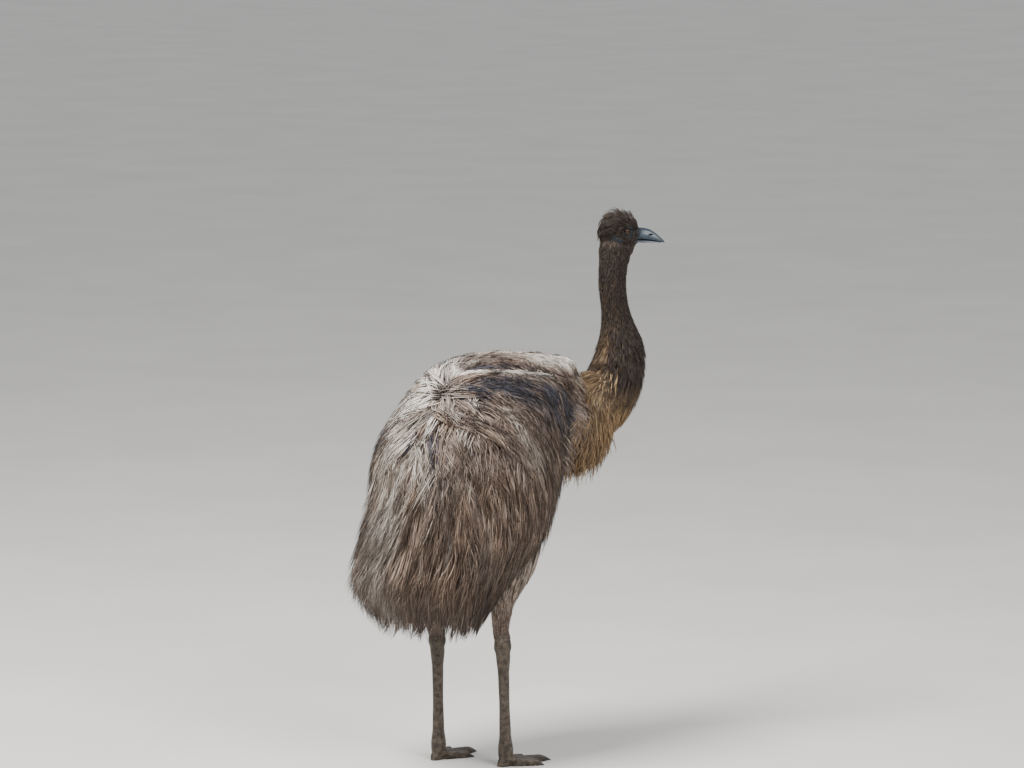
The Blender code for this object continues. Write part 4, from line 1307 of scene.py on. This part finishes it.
def limb_plumage(surface, n, reach_of, marking_of, low, high):
    """Vanes down a limb, over surface(t, angle, lift).

    reach_of(t, angle) gives their length, lift, width, depth of root, way down t, and
    how far they turn round the limb for each metre, as they do where it lies level."""
    t = draw.uniform(low, high, n)
    angle = draw.uniform(0, math.tau, n)
    length, lift, width, sink, way, hang = reach_of(t, angle)
    length = length * draw.uniform(0.75, 1.2, n)
    s = SHORT_STEPS[None, :]
    ahead = surface(t + 0.02 * way, angle, 0 * t) - surface(t, angle, 0 * t)
    pace = np.linalg.norm(ahead, axis=1) / 0.02
    along = np.sqrt(np.maximum(1 - (0.11 * hang) ** 2, 0.05))
    travel = (length * along / np.maximum(pace, 0.1) * way)[:, None] * s
    turn = angle[:, None] + draw.normal(0, 0.10, n)[:, None] * s**1.5 + (hang * length)[:, None] * s
    lifted = mix(-sink[:, None], (lift * draw.uniform(0.3, 1.5, n))[:, None], s**0.8)
    level = np.clip(t[:, None] + travel, 0, 1)
    outs = ways_out(surface, level, turn, lifted, 0.004)
    marking = np.clip(marking_of(t, angle) + draw.normal(0, 0.06, n), 0, 1)
    tone = pairs(draw.uniform(0, 1, n), marking)
    return surface(level, turn, lifted), outs, width, tone, pairs(share_round(angle), t)


def neck_marking(t, angle):
    """Golden at the base, near black from the chest's height up, pale down the nape."""
    dark = ramp(neck_at(t, angle, 0 * t)[..., 2], *NECK_DARKENS)
    dark = dark * dark * (3 - 2 * dark)
    front = 0.5 + 0.5 * np.cos(angle)
    nape = bump(front, 0.0, 0.05) * bump(t, 0.50, 0.07)
    marking = 0.5 - 0.5 * dark + nape * draw.uniform(0.0, 0.6, len(t))
    # The nape's foot stays golden
    return mix(marking, 0.60, 0.70 * ramp(front, 0.17, 0.05) * ramp(t, 0.43, 0.33))


def neck_reach(t, angle):
    """Long and loose at the base, short and close on the upper neck; see limb_plumage."""
    up = ramp(t, 0.30, 0.62)
    front = 0.5 + 0.5 * np.cos(angle)
    level = ramp(t, 0.40, 0.26)
    length = mix(*NECK_LENGTHS, up**0.7) * (1 + 0.25 * front * (1 - up))
    length = length * (1 + 0.20 * level - 0.50 * level * front**2)
    lift = mix(0.003 + 0.006 * front, 0.0036, up)
    lift = lift + ramp(t, 0.34, 0.14) * (0.028 * np.sin(angle) ** 2 + 0.003 * front)
    width = mix(*NECK_WIDTHS, up) * draw.uniform(0.8, 1.2, len(t))
    hang = -8.2 * level * np.sin(angle) * np.clip(np.abs(np.sin(angle)) + 0.3, 0, 1)
    return length, lift, width, neck_sink(t) + 0.001, -1, hang


def neck_plumage(finish):
    """Short hair-like vanes up the neck, longer and browner where it meets the body."""
    for name, (low, high, n, slot) in NECK_PIECES.items():
        vanes(name, *limb_plumage(neck_at, n, neck_reach, neck_marking, low, high), finish, slot)


def thigh_reach(t, angle):
    """Long above, short and close at the hock; see limb_plumage."""
    down = ramp(t, 0.30, 0.85)
    width = mix(*THIGH_WIDTHS, down) * draw.uniform(0.8, 1.2, len(t))
    length, lift = mix(*THIGH_LENGTHS, down), mix(*THIGH_LIFTS, down)
    return length, lift, width, thigh_sink(t) + 0.001, 1, 0 * t


def thigh_marking(t, angle):
    return np.interp(t, (0.5, 0.85), (0.60, 0.30))


def thigh_plumage(finish):
    """Vanes down each drumstick that thin out just above the hock."""
    for side, rows in DRUMSTICKS.items():
        surface = partial(limb_at, rows)
        made = limb_plumage(surface, THIGH_VANES, thigh_reach, thigh_marking, *THIGH_SPAN)
        vanes(f"thigh_feathers_{side}", *made, finish, "plumage")


CROWN_VANES = 2900
VANES_PER_TUFT = 11
CROWN_SPAN, CROWN_WIDTHS = (0.10, 0.92), (0.0009, 0.0015)
# Lengths from the nape to the bill
FACE_VANES, FACE_SPAN = 4200, (0.02, 0.90)
FACE_LENGTHS, FACE_WIDTHS = (0.020, 0.005), (0.0006, 0.0012)
# How tall the crown stands from the nape to the brow
CROWN_TALL = ((0.10, 0.45, 0.72, 0.92), (0.014, 0.027, 0.034, 0.015))
# What the face's vanes keep off, and how far: each eye and ear, and the bill
EYE_CLEAR = (EYE_PLACE + Vector((0.004, 0.010, 0)), EYE_RADIUS + 0.0045)
EAR_CLEAR = (EAR_PLACE, 0.0055)
BILL_CLEAR = (Vector((0.085, 0.0, 0.004)), 0.030)
THROAT_VANES = 2550
THROAT_LENGTHS, THROAT_LIFTS, THROAT_WIDTHS = (0.012, 0.024), (0.0010, 0.0045), (0.0007, 0.0013)
THROAT_MIDDLE, THROAT_REACH = (-0.022, 0.0), 0.100
THROAT_FOOT, THROAT_FRONT = -0.118, 0.052
# How high it starts, back to front: high at the nape, low behind the ear
THROAT_TOP = ((-0.060, -0.045, -0.032, 0.030), (-0.008, -0.014, -0.036, -0.020))


def clear_of_face(made):
    """Those vanes that keep off the eyes, the ears and the bill all the way along."""
    centres = made[0]
    centres = np.concatenate([centres, (centres[:, 1:] + centres[:, :-1]) / 2], axis=1)
    clear = np.ones(len(centres), bool)
    for place, reach in (EYE_CLEAR, EAR_CLEAR, BILL_CLEAR):
        for hand in (1, -1):
            middle = turned_to_head(mirrored(place, hand))
            clear &= (np.linalg.norm(centres - middle, axis=-1) > reach).all(axis=1)
    return [values[clear] for values in made]


def crown_plumage(finish):
    """The bushy crown, which stands up from brow to nape and falls back and out."""
    tufts = CROWN_VANES // VANES_PER_TUFT
    tuft = np.repeat(np.arange(tufts), VANES_PER_TUFT)
    n = len(tuft)
    tuft_t = draw.uniform(*CROWN_SPAN, tufts)[tuft]
    tuft_angle = draw.normal(0, 0.66, tufts)[tuft]
    t = tuft_t + draw.normal(0, 0.03, n)
    angle = tuft_angle + draw.normal(0, 0.13, n)
    swept = draw.normal(0.7, 0.80, tufts)[tuft]
    swept = np.maximum(swept, np.interp(t, (0.45, 0.75, 0.92), (-0.6, 0.0, 0.6)))
    parted = draw.normal(0, 0.38, tufts)[tuft]
    grown = draw.uniform(0.50, 1.40, tufts)[tuft]
    s = SHORT_STEPS[None, :]
    tall = np.interp(t, *CROWN_TALL) * np.clip(np.cos(angle), 0.25, 1)
    tall = (1.12 * tall * grown * draw.uniform(0.8, 1.06, n))[:, None]
    # The vanes of a tuft draw together towards its tip
    apart = 1 - 0.50 * s
    back = (0.24 * swept + draw.normal(0, 0.02, n))[:, None] * s**1.5
    back = back + (tuft_t - t)[:, None] * (apart - 1)
    fan = tuft_angle[:, None] * (1 + 0.45 * s) + (angle - tuft_angle)[:, None] * apart
    fan = np.clip(fan + (parted + draw.normal(0, 0.09, n))[:, None] * s, -1.5, 1.5)
    lifted = mix(-0.003, tall, np.sin(s * math.pi / 2))
    level = np.clip(t[:, None] - back, 0.03, 0.97)
    centres = head_at(level, fan, lifted)
    outs = unit(head_at(level, fan + 0.3, lifted) - centres)
    # Those that pass the nape hang on over it
    past = np.clip(0.03 - (t[:, None] - back), 0, 0.16)
    centres = centres + past[..., None] * head_way((-0.05, 0.0, -0.12))
    width = draw.uniform(*CROWN_WIDTHS, n)
    tone = pairs(draw.uniform(0, 0.8, n), draw.uniform(0, 0.04, n))
    roots = pairs(np.clip(0.5 + angle / math.tau, 0, 1), t)
    made = clear_of_face((centres, outs, width, tone, roots))
    vanes("crown_feathers", *made, finish, "neck_plumage")


def face_plumage(finish):
    """Sparse bristles on cheeks, throat and forehead, the shortest next to the bill."""
    n = FACE_VANES
    t = draw.uniform(*FACE_SPAN, n)
    angle = draw.uniform(0.45, math.tau - 0.45, n)
    s = SHORT_STEPS[None, :]
    length = mix(*FACE_LENGTHS, t**0.8) * draw.uniform(0.7, 1.2, n)
    back = (length / 0.13)[:, None] * s
    lifted = -0.0025 + 0.005 * s**0.8 * draw.uniform(0.5, 1.2, n)[:, None]
    turn = angle[:, None] + draw.normal(0, 0.10, n)[:, None] * s
    level = np.clip(t[:, None] - back, 0, 1)
    centres = head_at(level, turn, lifted)
    # Those at the nape hang down over the top of the neck
    centres[..., 2] -= np.clip(back - t[:, None], 0, 1) * 0.13
    outs = unit(head_at(level, turn, lifted + 0.01) - centres)
    width = draw.uniform(*FACE_WIDTHS, n)
    tone = pairs(draw.uniform(0, 1, n), draw.uniform(0, 0.07, n))
    made = clear_of_face((centres, outs, width, tone, pairs(share_round(angle), t)))
    vanes("face_bristles", *made, finish, "neck_plumage")


def throat_plumage(skin, finish):
    """Short vanes that follow the skin from the chin and the nape down the top of the neck."""
    co, normals = points_of(skin), points_of(skin, "normal")
    local = from_head(co)
    low = (local[:, 2] < np.interp(local[:, 0], *THROAT_TOP)) & (local[:, 2] > THROAT_FOOT)
    from_middle = np.linalg.norm(local[:, :2] - THROAT_MIDDLE, axis=1)
    grown = low & (from_middle < THROAT_REACH) & (local[:, 0] < THROAT_FRONT)
    rows = draw.choice(np.flatnonzero(grown), THROAT_VANES)
    kept = np.flatnonzero(low)
    tree = KDTree(len(kept))
    for i, point in zip(kept, co[kept]):
        tree.insert(point, i)
    tree.balance()
    n = len(rows)
    long = draw.uniform(*THROAT_LENGTHS, n)
    lift = draw.uniform(*THROAT_LIFTS, n)
    heading = head_way((-0.35, 0.0, -1.0)) + draw.normal(0, 0.12, (n, 3))
    point = co[rows] + normals[rows] * -0.001 + draw.normal(0, 0.0006, (n, 3))
    centres, outs = [point], [normals[rows]]
    for share in SHORT_STEPS[1:]:
        out = outs[-1]
        step = unit(heading - out * (heading * out).sum(axis=1, keepdims=True))
        point = point + step * (long / (len(SHORT_STEPS) - 1))[:, None]
        found = np.array([tree.find(place)[1] for place in point])
        out = normals[found]
        height = ((point - co[found]) * out).sum(axis=1)
        point = point + out * (lift * share**0.8 - height)[:, None]
        centres.append(point)
        outs.append(out)
    tone = pairs(draw.uniform(0, 1, n), draw.uniform(0, 0.10, n))
    around = np.arctan2(local[rows, 1], local[rows, 0]) / math.tau + 0.5
    roots = pairs(around, np.clip(1 + local[rows, 2] / 0.12, 0, 1))
    width = draw.uniform(*THROAT_WIDTHS, n)
    made = (np.stack(centres, axis=1), np.stack(outs, axis=1), width, tone, roots)
    vanes("throat_feathers", *made, finish, "neck_plumage")


# ---------------------------------------------------------------- build
body_feather = barbed_feather(
    "shaggy_grey_brown_feather",
    hues=("#52433A", "#735E50", "#8B7361", "#A38B76"),
    tip="#5A4F49",
    root="#5E554E",
    patch="#94867C",
    streak="#E2D5BF",
    # low: the slate's dark with its painted bluish reflection of the sky, and painted shade; high: mostly
    # painted highlights of the sun
    low="#383C49",
    high="#E4DDD2",
)
neck_feather = barbed_feather(
    "short_hair_like_feather",
    hues=("#5C4833", "#84694B", "#A2835A", "#BF9D6F"),
    tip="#A89C90",
    root="#746A60",
    patch="#7F654C",
    streak="#CDB98E",
    low="#252226",
    high="#BBA88A",
)
face_skin = bare_skin("slate_face_skin", "#17191B", "#22292E", 2.2, 0.62)
hide = bare_skin("feathered_hide", "#4A3D35", "#5C4E44", 4.0, 0.7)
scaled_skin = bare_skin("netted_leg_skin", "#352D26", "#5C5145", 6.5, 0.5, 0.002)
bill_horn = grown_horn("layered_bill_horn", "#10171D", "#22323F", 1.0, 0.34, 0.15, HEAD_TURN)
# The lower bill's own copy of the horn, meant as painted shade under the bill
jaw_horn_painted_shade = grown_horn("lower_bill_horn_painted_shade", "#161C21", "#28343E", 1.0, 0.34, 0.2, HEAD_TURN)
claw_horn = grown_horn("worn_claw_horn", "#1C1A19", "#3A3632", 1.0, 0.42)
scute_horn = grown_horn("leg_scute_horn", "#322B26", "#5A4E44", 3.0, 0.48)
eye_finish = wet_eye()

emu_skin = whole_skin(face_skin, hide, scaled_skin)
bill(bill_horn, jaw_horn_painted_shade)
for side, hand in (("left", 1), ("right", -1)):
    eyeball(side, hand, eye_finish)
    scutes(side, scute_horn)
    for kind in TOES:
        claw(side, kind, claw_horn)
body_plumage(body_feather)
crease_plumage(neck_feather)
mantle_plumage(body_feather)
neck_plumage(neck_feather)
thigh_plumage(body_feather)
crown_plumage(neck_feather)
face_plumage(neck_feather)
throat_plumage(emu_skin, neck_feather)

# ---------------------------------------------------------------- studio
TARGET = Vector((0.0575, 0.0515, 1.1230))
AZIMUTH = math.radians(-40)
ELEVATION = math.radians(8)
DISTANCE = 14.0
# Metres that the picture is wide at the target, and millimetres of the camera's sensor
FRAME_WIDTH = 3.072
SENSOR = 36.0
FLOOR_RADIUS = 400
# Name, place, size in metres and power in watts; both lamps look at the middle of the bird
LAMPS = (("key", (-3.4, 0.0, 6.0), 2.5, 820.0), ("fill", (-0.5, -6.0, 5.2), 3.0, 340.0))
LIT = Vector((0, 0, 1.0))
DOME, DOME_STRENGTH = "#E8ECF2", 0.8


def hold(name, data, place, view):
    """An object that stands at the place and looks along view."""
    held = bpy.data.objects.new(name, data)
    held.location = place
    held.rotation_euler = view.to_track_quat("-Z", "Y").to_euler()
    bpy.context.scene.collection.objects.link(held)
    return held


def studio():
    """A pale floor, one large soft light from the upper left and a paler dome of fill."""
    select_only()
    bpy.ops.mesh.primitive_circle_add(vertices=96, radius=FLOOR_RADIUS, fill_type="NGON")
    floor = bpy.context.object
    floor.name = "studio_floor"
    floor.data.materials.append(pale_studio_floor())
    for name, place, size, power in LAMPS:
        lamp = bpy.data.lights.new(name, "AREA")
        lamp.size, lamp.energy = size, power
        hold(name, lamp, place, LIT - Vector(place))
    world = bpy.data.worlds.new("soft_dome")
    world.use_nodes = True
    world.node_tree.nodes["Background"].inputs["Color"].default_value = linear(DOME)
    world.node_tree.nodes["Background"].inputs["Strength"].default_value = DOME_STRENGTH
    bpy.context.scene.world = world
    level = math.cos(ELEVATION)
    back = Vector((math.sin(AZIMUTH) * level, -math.cos(AZIMUTH) * level, math.sin(ELEVATION)))
    lens = bpy.data.cameras.new("camera")
    lens.sensor_width = SENSOR
    lens.lens = SENSOR * DISTANCE / FRAME_WIDTH
    lens.clip_end = 1000.0
    bpy.context.scene.camera = hold("camera", lens, TARGET + back * DISTANCE, -back)


studio()
